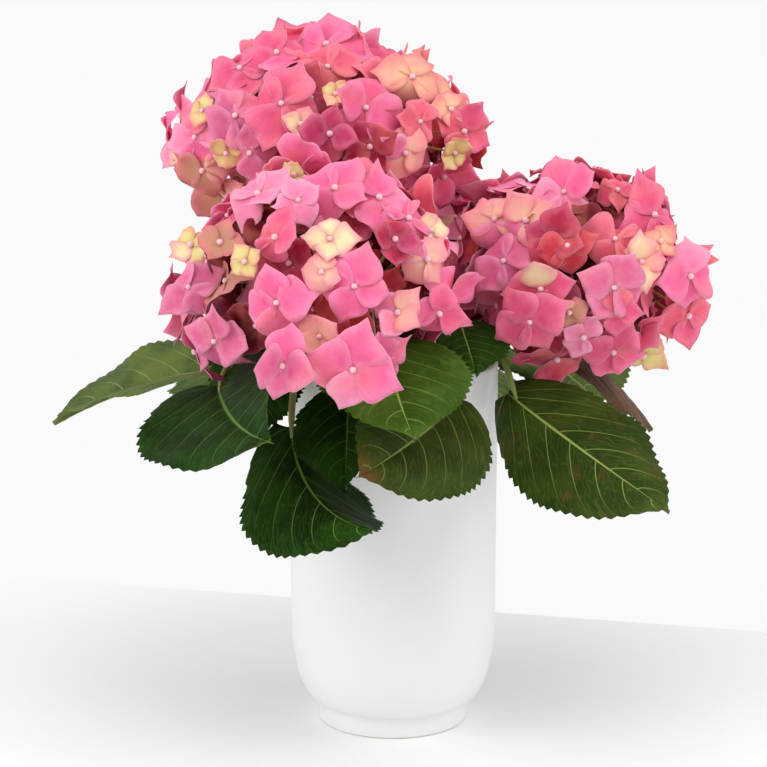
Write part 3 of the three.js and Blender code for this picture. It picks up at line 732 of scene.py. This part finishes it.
def leaf_material(name, colours, roughness, vein_share, under=False):
    """Leaf tissue with a midrib, side veins and a fine net between them, in the blade's own map.  Its
    thin wax gives a weak broad sheen that the ribbed tissue breaks up."""
    face, shade, vein_colour, tip_colour, blotch = colours
    made, add, shader = material(name, face, roughness, Specular_IOR_Level=0.06)
    spot = add("SeparateXYZ", add("UVMap", uv_map="blade")).node
    across, s = add("MULTIPLY_ADD", spot.outputs["X"], 2, -1), spot.outputs["Y"]
    a = add("ABSOLUTE", across)
    side = add("SIGN", across)
    phase = add("MULTIPLY_ADD", side, 0.25, vein_nodes(add, s, a))
    veins = add("MapRange", add("PINGPONG", phase, 0.5), 0.008, 0.032, 1, 0, **SMOOTH)
    veins = add("MULTIPLY", veins, add("MapRange", a, 0.35, 0.95, 1, 0.1, **SMOOTH))
    midrib = add("MULTIPLY_ADD", s, 0.015, a)
    midrib = add("MapRange", midrib, 0.012, 0.034, 1, 0, **SMOOTH)
    net = add("CombineXYZ", add("MULTIPLY", across, 0.7), phase)
    net = add("TexVoronoi", Vector=net, Scale=6, feature="DISTANCE_TO_EDGE")
    place = add("TexCoord", output="Object")
    clouds = add("TexNoise", Vector=place, Scale=scale_for(26.32), Detail=4)
    stains = add("TexNoise", Vector=place, Scale=scale_for(10.53), Detail=3)
    at_tip = add("MULTIPLY", add("MapRange", s, 0.82, 1.0, **SMOOTH),
                 add("MapRange", clouds, 0.3, 0.6, **SMOOTH))
    lines = add("MAXIMUM", add("MULTIPLY", veins, vein_share), midrib)
    lines = add("MAXIMUM", lines, add("MapRange", net, 0.0, 0.07, 0.1, 0, **SMOOTH))
    colour = layered(add, shade, (add("MapRange", clouds, 0.36, 0.66, **SMOOTH), face), (at_tip, tip_colour),
                     (add("MapRange", stains, 0.55, 0.7, 0, 0.7, **SMOOTH), blotch), (lines, vein_colour))
    cells = add("MapRange", net, 0.0, 0.25, **SMOOTH)
    ribs = add("MAXIMUM", veins, midrib)
    furrow = add("MULTIPLY_ADD", ribs, -1, cells)
    relief = add("Bump", Height=furrow, Strength=0.4, Distance=0.0003, invert=under)
    feed(shader, Base_Color=colour, Normal=relief)
    return made


underside = leaf_material("hydrangea leaf, underside",
                          ("5c7238", "4a5f2d", "93a35e", "746f40", "66713c"), 0.7, 0.8, under=True)
leaf_tops = {tone: leaf_material(f"hydrangea leaf, {tone.replace('_', ' ')}", colours, 0.5, 0.64)
             for tone, colours in TONES.items()}

petioles = Heap()
blade_faces, is_under = BLADE[3:]
for number, (leaf_name, leaf) in enumerate(LEAVES.items()):
    points, spots = blade(leaf, number)
    stand_in_way(points, blade_faces[~is_under])
    piece = shape(f"blade_{leaf_name}", points, blade_faces.tolist())
    finish_piece(piece, "leaves", [f"leaf_{leaf_name}"], leaf_tops[leaf.tone], underside)
    piece.data.polygons.foreach_set("material_index", is_under.astype(np.int32))
    corners = spots[blade_faces.ravel()]
    add_map(piece, "blade", corners)
    halves = np.repeat(is_under, 4) * 0.5
    add_map(piece, "OFBake", np.stack([corners[:, 0] * 0.49 + halves, corners[:, 1]], axis=1))

    curve = cane_curve(HEADS[leaf.cane])
    cane_path = by_length(curve, CANE_PLACES)
    step = round(leaf.at * CANE_PLACES)
    way = (cane_path[step + 1] - cane_path[step - 1]).normalized()
    _, place, ahead, _, up = (np.asarray(rows) for rows in midrib_frames(leaf, 1))
    start, ahead, up = Vector(place[0]), Vector(ahead[0]), Vector(up[0])
    out = start - cane_path[step]
    out.z = math.hypot(out.x, out.y) * LEAF.petiole_rise
    out = (out - way * out.dot(way)).normalized()
    foot = cane_path[step] + out * (cane_radius(leaf.at) - 0.8)
    span = (start - foot).length
    end = start + ahead * LEAF.sunk - up * (LEAF.sunk_depth + 0.7)
    late = start - ahead * span * LEAF.tip_bend
    late.z = max(late.z, LEAF.arch)
    path = by_length([foot, foot + out * span * LEAF.foot_bend, late, end], PETIOLE_STEPS)
    count = PETIOLE_STEPS + 1
    taper = np.linspace(LEAF.petiole_foot, LEAF.petiole_tip, count)
    clasp = 1 + 0.5 * np.exp(-np.linspace(0, 12, count) ** 2 / 2)
    closing = np.minimum(1, np.linspace(4.2, 0.35, count))
    points, faces = limb(path, taper * clasp * closing, PETIOLE_SIDES)
    petioles.add(points, faces)
    stand_in_way(points, faces)

# Sappy skin with a slight sheen, flushed red in clouds.
stalk_green, add, shader = material("leaf stalk, green with a red flush", STALK_GREEN, 0.5)
flush = add("TexNoise", Vector=add("TexCoord", output="Object"), Scale=scale_for(16.67))
flush = add("MapRange", flush, 0.5, 0.8, **SMOOTH)
feed(shader, Base_Color=add("Mix", flush, STALK_GREEN, STALK_FLUSH, data_type="RGBA"))
finish_piece(petioles.shape("leaf_stalks"), "leaves", [f"leaf_{n}" for n in LEAVES], stalk_green)

# ---- Flower heads --------------------------------------------------------------------------
# Each head is a dome of sterile florets.  A floret is four broad pointed sepals, thin, waved and
# overlapping, about a pale bead of a bud.  Its pedicel rises from rays that branch off one stalk.

FLORET = Values(radius=21, unlike=0.16, rise=13, layer=0.5, roll=9, thickness=0.32)
SEPAL = Values(width=1.04, tip=0.42, tip_angle=0.17, roundest=1.8, squarest=1.25, claw=0.4, rise=14, curl=38,
               wave=0.12, bow=0.14, groove=0.35, folded=0.06, fold=40)
SEPAL_GRID = 6
BEAD_RADIUS = 1.6
BEAD_RISE = 0.9                   # of its radius
PRESSED_CLEAR = 5                 # how far a floret keeps from the plane to the next head
GOLDEN = math.pi * (3 - math.sqrt(5))
RAYS = 8
RAY_REACH, HUB_RISE = 0.42, 0.25   # of the head's outline and its height
STALK_RADIUS, RAY_RADIUS, PEDICEL_RADIUS = 2.9, 1.5, 0.6
SHOWN_SEED = 90
SHOWN_SIZE = 1.1
TURNED_TO_EYE = 0.9               # how far a shown floret turns from its place on the dome
SHOWN_CLEAR = 13                  # no seeded floret's middle comes nearer than this to a shown one's
SHOWN_SPREAD = 34                 # nearer than this, a seeded one sits deeper
SHOWN_SINK = 17
SHIFTS = (0, -3, -6, -9, -12, 4, 8, 12)      # outwards, for a seeded floret
SHOWN_SHIFTS = (0, 4, 8, 12, 16, 20, 24)     # towards the front, for a shown one
NEIGHBOUR = 42

TINTS = {                         # heart, middle and edge of the sepal
    "pink": ("dc3e78", "f46a9c", "fb92b8"),
    "light_pink": ("ea6494", "f888b0", "fcacc8"),
    "rose": ("cc3058", "e85c84", "f484a4"),
    "coral": ("d43e5a", "ea607a", "f68a9a"),
    "scarlet": ("b01e34", "cc3c4c", "e46a74"),
    "mauve": ("b8447a", "d8648e", "ec92b0"),
    "mauve_pink": ("cc4880", "ea6e9a", "f49cba"),
    "magenta": ("9c2656", "be3c68", "da7490"),
    "deep_rose": ("84162e", "b02a48", "d4647e"),
    # The near-black red of the inner layers is painted shade, deep in the head.
    "crimson": ("3a060c", "5e0e1a", "8e2a38"),
    "peach": ("f0dc98", "f6b09a", "f07888"),
    "blush": ("f0d8a4", "f6aca4", "f888a0"),
    "cream": ("dce0a0", "f8dcb0", "f88ca4"),
    "green_cream": ("b8c860", "e4d490", "f09c90"),
    "olive_pink": ("98944e", "c48874", "dc7484"),
}
# Layers of florets from the outside in: how many on each head, their seat as a part of the outline's
# radius, their size, and the tints of the inner ones: dark reds that are painted shade deep in the head.
LAYERS = [
    (dict(front=84, back=88, right=78, rear=52), HEAD.seat, 1, ()),
    (dict(front=48, back=50, right=44, rear=28), 0.72, 0.95, ("deep_rose", "crimson", "scarlet", "crimson")),
    (dict(front=22, back=24, right=20, rear=12), 0.5, 0.9, ("crimson",)),
]
MIXTURES = {
    "front": ("pink", "pink", "rose", "rose", "pink", "coral"),
    "back": ("rose", "rose", "deep_rose", "coral", "pink", "mauve_pink"),
    "right": ("pink", "rose", "mauve_pink", "coral", "rose", "deep_rose"),
    "rear": ("pink", "coral", "deep_rose", "light_pink", "cream", "rose"),
}
KIN = {"pink": "light_pink", "light_pink": "pink", "rose": "pink", "coral": "rose", "scarlet": "coral",
       "mauve": "mauve_pink", "mauve_pink": "pink", "magenta": "mauve", "deep_rose": "magenta",
       "crimson": "deep_rose", "peach": "coral", "blush": "light_pink", "cream": "blush",
       "green_cream": "cream", "olive_pink": "blush"}
KIN_SHARE = 0.15                  # part of the sepals that take the kindred tint
FOUR_SEPALS = 0.94                # part of the seeded florets that have four and not five
PATCH_BACK = 0.35                 # how far back a patch reaches
FLUSH, FLUSH_SHARE = "f8907e", 0.3
# Patches of tint as (tint, across, up, spread): places on a head seen from the front, as parts of its
# radii.  Everything else takes a tint from the head's mixture.  No floret grows in a bare patch.
PATCHES = {
    "front": [("bare", 0.15, -0.95, 0.35), ("bare", 0.45, -0.85, 0.3), ("bare", -0.12, -0.6, 0.2),
              ("bare", -0.45, -0.95, 0.35), ("bare", -0.67, -0.58, 0.16), ("mauve", -0.9, 0.1, 0.3),
              ("mauve", -0.75, -0.3, 0.25), ("olive_pink", -0.8, 0.4, 0.2)],
    "back": [("peach", 0.6, 0.5, 0.25), ("scarlet", 0.75, 0.05, 0.25), ("olive_pink", -0.8, -0.45, 0.3),
             ("green_cream", -0.6, -0.3, 0.14), ("deep_rose", 0.0, -0.35, 0.3), ("coral", 0.3, -0.5, 0.25)],
    # The right head's mauve and deep rose patches on its left are partly painted shade, where it meets the
    # front head.
    "right": [("light_pink", -0.5, 0.8, 0.3), ("mauve", -0.8, -0.1, 0.3), ("deep_rose", -0.4, -0.2, 0.2),
              ("coral", 0.8, -0.2, 0.3), ("cream", 0.6, 0.25, 0.14), ("deep_rose", 0.55, -0.3, 0.22)],
    "rear": [],
}
# Where a head is less full than its outline: across, up and spread as above, and the depth.
DENTS = {
    "front": [],
    "back": [(0.85, 0.38, 0.3, 13), (0.45, 0.85, 0.4, 9), (-0.82, 0.5, 0.3, 12), (0.6, 0.63, 0.25, 9)],
    "right": [(0.87, 0.35, 0.3, 11), (0.9, 0.04, 0.25, 7), (0.4, 0.87, 0.4, 6)],
    "rear": [],
}
# The florets that show full face at the front: their sepals' tints in turn, place across and up from
# the head's middle, radius, bearing of the first sepal and rise of the sepals in degrees.
SHOWN = {
    "front": [
        ("mauve_pink", -18, -20, 19, -112, -4), ("pink", 16, -22, 22, -100, -6),
        ("pink", -21, 11, 20, 98, 10), ("pink", 17, 19, 18, -99, -4), ("cream", 5, 41, 14, 90, 8),
        ("rose", -22, 41, 17, 150, -5), ("pink", 7, 62, 19, 62, -6), ("light_pink", -11, 57, 14, 20, 6),
        ("light_pink", -32, 58, 19, 30, -4), ("deep_rose", 37, 39, 15, 5, 6), ("pink", 44, 47, 19, 40, -14),
        ("blush", 53, 28, 15, 70, -18), ("blush", 38, 5, 14, -26, 6), ("blush", 1, 26, 11, 170, 8),
        ("blush", 0, -5, 13, 130, 24), ("mauve", -67, 12, 19, 190, -6), ("mauve", -53, -12, 19, 238, -10),
        ("green_cream", -67, 30, 12, 100, 10), ("olive_pink", -50, 36, 13, 60, 20),
        ("pink", 29, 57, 19, 10, -8), ("rose", 59, 1, 16, -75, -12), ("green_cream", -14, 66, 8, 40, 12),
        ("green_cream", -37, 29, 9, 200, 10), ("cream", 55, 40, 10, 30, -8),
    ],
    "back": [
        ("rose", -25, 23, 24, 60, -4), ("rose", 20, 21, 23, 72, -5), ("magenta", 1, 8, 17, 80, 10),
        ("deep_rose", 22, 1, 17, 130, 8), ("pink", -2, 51, 25, 85, -12), ("rose", -29, 47, 19, 110, -6),
        ("mauve", -50, 16, 20, 120, -8), ("pink", -73, 3, 18, 170, -8),
        ("olive_pink", -84, -13, 15, 200, -10), ("olive_pink", -69, -15, 18, 250, -8),
        ("peach", 45, 35, 21, 0, -6), ("coral", 73, 6, 18, 0, -8), ("blush", 41, -3, 16, 75, 6),
        ("coral", 49, 13, 15, 90, -4), ("green_cream", 68, -5, 10, 260, 10), ("mauve", -42, -3, 15, 80, -4),
        ("rose", -49, 39, 20, 190, -12), ("green_cream", -69, 17, 9, 150, 10),
        ("green_cream", 4, 28, 8, 60, 16), ("cream", -14, 13, 9, 250, 10),
        ("green_cream", -55, -4, 10, 210, 8), ("peach", 66, 18, 12, 20, -6),
    ],
    "right": [
        ("mauve_pink", 18, 3, 20, 70, -4), ("rose", -25, -16, 21, -75, -6),
        ("rose cream rose rose", -20, 2, 18, 0, 8), ("mauve_pink", -39, 15, 20, 115, -4),
        ("deep_rose", -13, 27, 18, 60, 6), ("light_pink", -6, 48, 20, 100, -8),
        ("scarlet", -6, 24, 16, 10, 4), ("blush", -27, 35, 16, 110, 6), ("blush", -43, 34, 19, 160, -8),
        ("coral", 23, 48, 12, 100, 4), ("coral", 19, 27, 20, 75, -10), ("rose", 42, 36, 22, 40, -8),
        ("cream", 33, 15, 14, 15, 4), ("pink", 61, 4, 20, 120, -8), ("coral", 62, -19, 20, -50, -8),
        ("green_cream", 38, -40, 14, 80, 10), ("rose", 20, -34, 20, -100, -6),
        ("coral", 20, -10, 14, 190, 14), ("light_pink", 3, -24, 14, -30, -6),
        ("mauve", -61, -18, 19, -75, -10), ("cream", -28, 39, 9, 30, 8), ("peach", 44, 24, 10, 60, 6),
        ("olive_pink", -5, -10, 10, 290, 12),
    ],
    "rear": [],
}


def dome_direction(head, i, count):
    """Directions spread evenly over a dome, turned to the head's axis."""
    height = 1 - ((i + 0.5) / count) * (1 - math.cos(math.radians(head.widest)))
    out = math.sqrt(1 - height ** 2)
    angle = i * GOLDEN + head.seed
    local = Vector((out * math.cos(angle), out * math.sin(angle), height))
    return UP.rotation_difference(axis_of(head)) @ local


def on_outline(head, direction, part):
    rx, ry, rz = head.radii
    reach = 1 / Vector((direction.x / rx, direction.y / ry, direction.z / rz)).length
    return head.centre + direction * reach * part


def floret_place(head, i, count, seat, scale, seed):
    """Where floret i sits, which way it faces and how big it is."""
    direction = dome_direction(head, i, count)
    centre = on_outline(head, direction, seat + HEAD.seat_jitter * swing(seed, i, 1))
    tilt = Vector((swing(seed, i, 2), swing(seed, i, 3), swing(seed, i, 4)))
    facing = (direction + tilt * math.sin(math.radians(HEAD.tilt))).normalized()
    size = scale * (1 + FLORET.unlike * swing(seed, i, 5))
    return Values(centre=centre, facing=facing, spin=2 * math.pi * draw(seed, i, 6), size=size,
                  way_out=direction, shifts=SHIFTS, number=i, seed=seed,
                  rise=FLORET.rise * swing(seed, i, 7), sepals=5 if draw(seed, i, 20) > FOUR_SEPALS else 4)


def shown_place(head, i, row):
    """The place of a floret that is listed as shown, on the front of its head."""
    tints, across, up, radius, bearing, rise = row
    rx, ry, rz = (r * HEAD.seat * 1.02 for r in head.radii)
    off = Vector((across, -ry * math.sqrt(max(0.01, 1 - (across / rx) ** 2 - (up / rz) ** 2)), up))
    outwards = Vector((off.x / rx ** 2, off.y / ry ** 2, off.z / rz ** 2)).normalized()
    to_eye = (CAMERA_AT / MM - head.centre).normalized()
    facing = (outwards + to_eye * TURNED_TO_EYE).normalized()
    return Values(centre=head.centre + off, facing=facing, spin=math.radians(bearing),
                  size=SHOWN_SIZE * radius / FLORET.radius, way_out=to_eye, shifts=SHOWN_SHIFTS, number=i,
                  seed=head.seed + SHOWN_SEED, rise=rise, sepals=4, tints=tints.split())


def tucked_in(head, place):
    """Presses a floret back behind the planes between its head and the others, as the head's own
    florets are crowded by its neighbours'.  False if that takes too much."""
    middle = head.centre

    def support(other, along):
        return Vector([r * a for r, a in zip(other.radii, along)]).length

    pressed = 0
    for other in HEADS.values():
        if other is head:
            continue
        along = other.centre - middle
        apart = along.length
        along.normalize()
        own = support(head, along)
        limit = apart * own / (own + support(other, along)) - PRESSED_CLEAR
        edge_on = math.sqrt(max(0, 1 - place.facing.dot(along) ** 2))
        reach = (place.centre - middle).dot(along) + FLORET.radius * place.size * edge_on
        over = max(0, reach - limit)
        place.centre = place.centre - along * over
        pressed += over
    return pressed < HEAD.most_pressed


SHEET_COLUMN, SHEET_ROW, SEPAL_BACK, SEPAL_FACES, _ = thin_sheet(SEPAL_GRID, SEPAL_GRID)
SQUARE_X, SQUARE_Y = SHEET_COLUMN / SEPAL_GRID * 2 - 1, SHEET_ROW / SEPAL_GRID * 2 - 1
SEPAL_X = SQUARE_X * np.sqrt(1 - SQUARE_Y ** 2 / 2)      # the square sheet drawn in to a disc
SEPAL_Y = SQUARE_Y * np.sqrt(1 - SQUARE_X ** 2 / 2)


def sepal(place, k):
    """Points of sepal k of a floret: broad, pointed, its edges waved and its tip curled."""
    seed, i = place.seed, place.number * 7 + k
    length = FLORET.radius * place.size * (1 + 0.1 * swing(seed, i, 21))
    width = length * SEPAL.width * (1 + 0.15 * swing(seed, i, 22)) * 4 / place.sepals
    bearing = place.spin + 2 * math.pi * k / place.sepals + 0.1 * swing(seed, i, 23)
    angle = np.arctan2(SEPAL_X, SEPAL_Y)
    bend = np.abs(angle)
    roundness = SEPAL.squarest + (SEPAL.roundest - SEPAL.squarest) * draw(seed, i, 33)
    reach = (np.abs(np.cos(angle)) ** roundness + np.abs(np.sin(angle)) ** roundness) ** (-1 / roundness)
    outline = np.where(bend < math.pi / 2, reach, 1)
    outline = outline + SEPAL.tip * (0.6 + 0.8 * draw(seed, i, 34)) * np.exp(-bend / SEPAL.tip_angle)
    outline = outline + 0.04 * np.sin(3 * angle + 6.3 * draw(seed, i, 24))
    out = np.clip((SEPAL_Y * outline + 1) / (2 + SEPAL.tip), 0, 1.15)
    along = out * length
    narrow = 1 - SEPAL.claw * np.exp(-out / 0.12)
    part = SEPAL_X * outline
    across = part * narrow * width / 2
    rim = np.hypot(SEPAL_X, SEPAL_Y)
    folded = SEPAL.fold if draw(seed, i, 25) < SEPAL.folded else 0
    rise = place.rise + SEPAL.rise * swing(seed, i, 26) + folded
    curl = SEPAL.curl * (swing(seed, i, 27) - 0.25)
    slope = np.radians(rise + curl * out)
    lift = along * np.sin(slope)
    lift = lift + length * SEPAL.bow * (0.35 + swing(seed, i, 28)) * part ** 2 * out
    waves = 2 + math.floor(3 * draw(seed, i, 35))
    wave = np.sin(waves * angle + 6.3 * draw(seed, i, 29)) * rim ** 3
    lift = lift + length * SEPAL.wave * wave * out
    lift = lift - SEPAL.groove * np.exp(-(SEPAL_X / 0.12) ** 2) * out * (1.1 - out) * 4
    roll = math.radians(FLORET.roll + 7 * swing(seed, i, 30))
    lift = lift + math.sin(roll) * across * np.clip(out * 3, 0, 1) + FLORET.layer * (k % 2)
    lift = lift + 0.4 - FLORET.thickness * SEPAL_BACK
    points = np.stack([across, along * np.cos(slope) + 0.5, lift], axis=1)
    turn = Matrix.Rotation(bearing - math.pi / 2, 3, "Z")
    turn = UP.rotation_difference(place.facing).to_matrix() @ turn
    return points @ np.array(turn).T + np.array(place.centre)


def face_place(head, place):
    """Where a floret sits on its head, seen from the front: across, up and back from the middle, as
    parts of the head's radii."""
    off = place.centre - head.centre
    return off.x / head.radii[0], off.z / head.radii[2], off.y / head.radii[1]


def patch_tint(head_name, head, place, mixture):
    """The tint that the patches, or else the mixture, give to this place on a head."""
    across, up, back = face_place(head, place)
    best, score = None, 1.0
    for tint, patch_across, patch_up, spread in PATCHES[head_name]:
        far = math.hypot(across - patch_across, up - patch_up) / spread
        if back < PATCH_BACK and far < score:
            best, score = tint, far
    return best or mixture[int(draw(place.seed, place.number, 31) * len(mixture))]


def dent(head_name, head, place):
    """How far the head falls short of its outline here."""
    across, up, _ = face_place(head, place)
    depths = [deep * max(0, 1 - math.hypot(across - dent_across, up - dent_up) / spread / 1.5)
              for dent_across, dent_up, spread, deep in DENTS[head_name]]
    return max(depths, default=0)


def sepal_tint(place, k):
    """The tint of sepal k: the floret's own, and now and then the one most like it."""
    tint = place.tints[k % len(place.tints)]
    if len(place.tints) == 1 and draw(place.seed, place.number * 7 + k, 32) < KIN_SHARE:
        tint = KIN[tint]
    return tint


def petal_material(name, heart, middle, edge):
    """Sepal tissue: soft and matt, with a little light passing through.  A heart that fades into the
    middle, a pale line round the edge, faint veins and a salmon flush in clouds."""
    made, add, shader = material(name, middle, 0.6, Specular_IOR_Level=0.15, Subsurface_Weight=0.1,
                                 Subsurface_Scale=0.002, Subsurface_Radius=(0.8, 0.45, 0.45))
    place = add("UVMap", uv_map="sepal")
    spot = add("SeparateXYZ", place).node
    x, y = (add("MULTIPLY_ADD", spot.outputs[k], 2, -1) for k in "XY")
    rim = add("MULTIPLY_ADD", x, x, add("MULTIPLY", y, y))
    rim = add("SQRT", rim)
    bearing = add("ARCTAN2", x, add("ADD", y, 1.25))
    grain = add("TexNoise", Vector=place, Scale=2.6, Detail=2)
    fan = add("MULTIPLY", bearing, 5.2)
    wander = add("MULTIPLY_ADD", grain, 0.9, fan)
    veins = add("MapRange", add("PINGPONG", wander, 0.5), 0.0, 0.09, 1, 0, **SMOOTH)
    clouds = add("TexNoise", Vector=add("TexCoord", output="Object"), Scale=scale_for(18.18))
    colour = layered(add, heart,
                     (add("MapRange", y, -1.1, 0.15, **SMOOTH), middle),
                     (add("MapRange", rim, 0.4, 1.0, 0, 0.65, **SMOOTH), edge),
                     (add("MapRange", clouds, 0.48, 0.66, 0, FLUSH_SHARE, **SMOOTH), FLUSH),
                     (add("MapRange", grain, 0.35, 0.65, 0, 0.25, **SMOOTH), edge),
                     (add("MULTIPLY", veins, 0.16), heart),
                     (add("MapRange", rim, 0.95, 0.99, 0, 0.35, **SMOOTH),
                      add("Mix", 0.45, edge, "fff0f0", data_type="RGBA")))
    relief = add("Bump", Height=veins, Strength=0.3, Distance=0.00015, invert=True)
    feed(shader, Base_Color=colour, Normal=relief)
    return made


petals = {tint: petal_material(f"hydrangea sepal, {tint.replace('_', ' ')}", *colours)
          for tint, colours in TINTS.items()}
# Buds have a waxy skin that light sinks into a little, and their stalks a plain dull one.
bead_skin, _, _ = material("closed fertile bud", "f4c2cc", 0.5, Subsurface_Weight=0.2,
                           Subsurface_Scale=0.001)
ray_skin, _, _ = material("flower stalk, pale green", "a8a860", 0.6)


def bead_pattern():
    """A closed bud of unit radius that rests on its floret, with four seams over the top."""
    built = bmesh.new()
    bmesh.ops.create_uvsphere(built, u_segments=12, v_segments=6, radius=1)
    for vertex in built.verts:
        seam = abs(math.cos(2 * math.atan2(vertex.co.y, vertex.co.x))) ** 6
        vertex.co *= 1 - 0.12 * seam * max(0, vertex.co.z)
        vertex.co.z += BEAD_RISE
    return taken_apart(built)


BEAD_POINTS, BEAD_FACES = bead_pattern()


def bead(place):
    """The closed bud in the middle of a floret."""
    radius = BEAD_RADIUS * (0.85 + 0.3 * draw(place.seed, place.number, 41))
    turn = UP.rotation_difference(place.facing).to_matrix()
    return BEAD_POINTS * radius @ np.array(turn).T + np.array(place.centre), BEAD_FACES


ways_blocked = BVHTree.FromPolygons(obstacle_points, obstacle_faces)


def joined_faces(count):
    """The faces of this many sepals whose points follow each other."""
    first = len(SEPAL_X) * np.arange(count)
    return (SEPAL_FACES[None] + first[:, None, None]).reshape(-1, 4).tolist()


def floret_points(place, placed):
    """The floret's sepals where they touch no leaf and cut least into the florets placed so far.
    None if they always touch a leaf."""
    start = place.centre
    near = [tree for centre, tree in placed if (centre - start).length < NEIGHBOUR]
    best = None
    for shift in place.shifts:
        if best is not None and shift > 0:
            break
        place.centre = start + place.way_out * shift
        sepals = [sepal(place, k) for k in range(place.sepals)]
        flat = [Vector(p) for p in np.concatenate(sepals)]
        tree = BVHTree.FromPolygons(flat, joined_faces(len(sepals)))
        if tree.overlap(ways_blocked):
            continue
        cuts = sum(len(tree.overlap(other)) for other in near)
        if best is None or cuts < best[0]:
            best = (cuts, place.centre, sepals, tree)
        if cuts == 0:
            break
    if best is None:
        return None
    place.centre = best[1]
    placed.append((best[1], best[3]))
    return best[2]


def head_places(head_name, head):
    """Every floret of a head in turn: the shown ones, then the layers round and under them."""
    shown = [shown_place(head, i, row) for i, row in enumerate(SHOWN[head_name])]
    yield from shown
    for depth, (counts, seat, scale, tints) in enumerate(LAYERS):
        seed = head.seed + 50 * depth
        for i in range(counts[head_name]):
            place = floret_place(head, i, counts[head_name], seat, scale, seed)
            tint = patch_tint(head_name, head, place, tints or MIXTURES[head_name])
            near = min([(place.centre - one.centre).length for one in shown] + [SHOWN_SPREAD])
            if tint == "bare" or depth == 0 and near < SHOWN_CLEAR:
                continue
            if depth == 0:
                sink = SHOWN_SINK * (1 - near / SHOWN_SPREAD) + dent(head_name, head, place)
                place.centre -= place.way_out * sink
            place.tints = [tint]
            if tucked_in(head, place):
                yield place


sepal_spots = np.stack([SEPAL_X / 2 + 0.5, SEPAL_Y / 2 + 0.5], axis=1)

for head_name, head in HEADS.items():
    axis = axis_of(head)
    hub = stalk_foot(head) + axis * HUB_RISE * head.radii[2]
    tips = [on_outline(head, dome_direction(head, k, RAYS), RAY_REACH) for k in range(RAYS)]
    stalks, beads = Heap(), Heap()
    stalks.add(*limb(by_length([stalk_foot(head), hub], 4), np.linspace(STALK_RADIUS, STALK_RADIUS, 5), 10))
    for tip in tips:
        path = by_length([hub - axis * 2, hub + axis * 8, tip], 8)
        stalks.add(*limb(path, np.linspace(STALK_RADIUS * 0.7, RAY_RADIUS, 9), 8))
    by_tint, placed = {}, []
    for place in head_places(head_name, head):
        sepals = floret_points(place, placed)
        if sepals is None:
            continue
        for k, points in enumerate(sepals):
            by_tint.setdefault(sepal_tint(place, k), []).append(points)
        beads.add(*bead(place))
        nearest = min(tips, key=lambda tip: (tip - place.centre).length)
        path = by_length([nearest, nearest.lerp(place.centre, 0.5) + axis * 3,
                          place.centre - place.facing * 8, place.centre], 7)
        stalks.add(*limb(path, np.linspace(PEDICEL_RADIUS * 1.3, PEDICEL_RADIUS, 8), 6))
    slot_name = f"flower_head_{head_name}"
    finish_piece(stalks.shape(f"florets_{head_name}_stalks"), slot_name, [slot_name], ray_skin)
    finish_piece(beads.shape(f"florets_{head_name}_beads"), slot_name, [slot_name], bead_skin)
    for tint, sepals in by_tint.items():
        faces = joined_faces(len(sepals))
        piece = shape(f"florets_{head_name}_{tint}", np.concatenate(sepals), faces)
        finish_piece(piece, slot_name, [slot_name], petals[tint])
        spots = np.tile(sepal_spots, (len(sepals), 1))[np.ravel(faces)]
        add_map(piece, "sepal", spots)
        add_map(piece, "OFBake", spots)
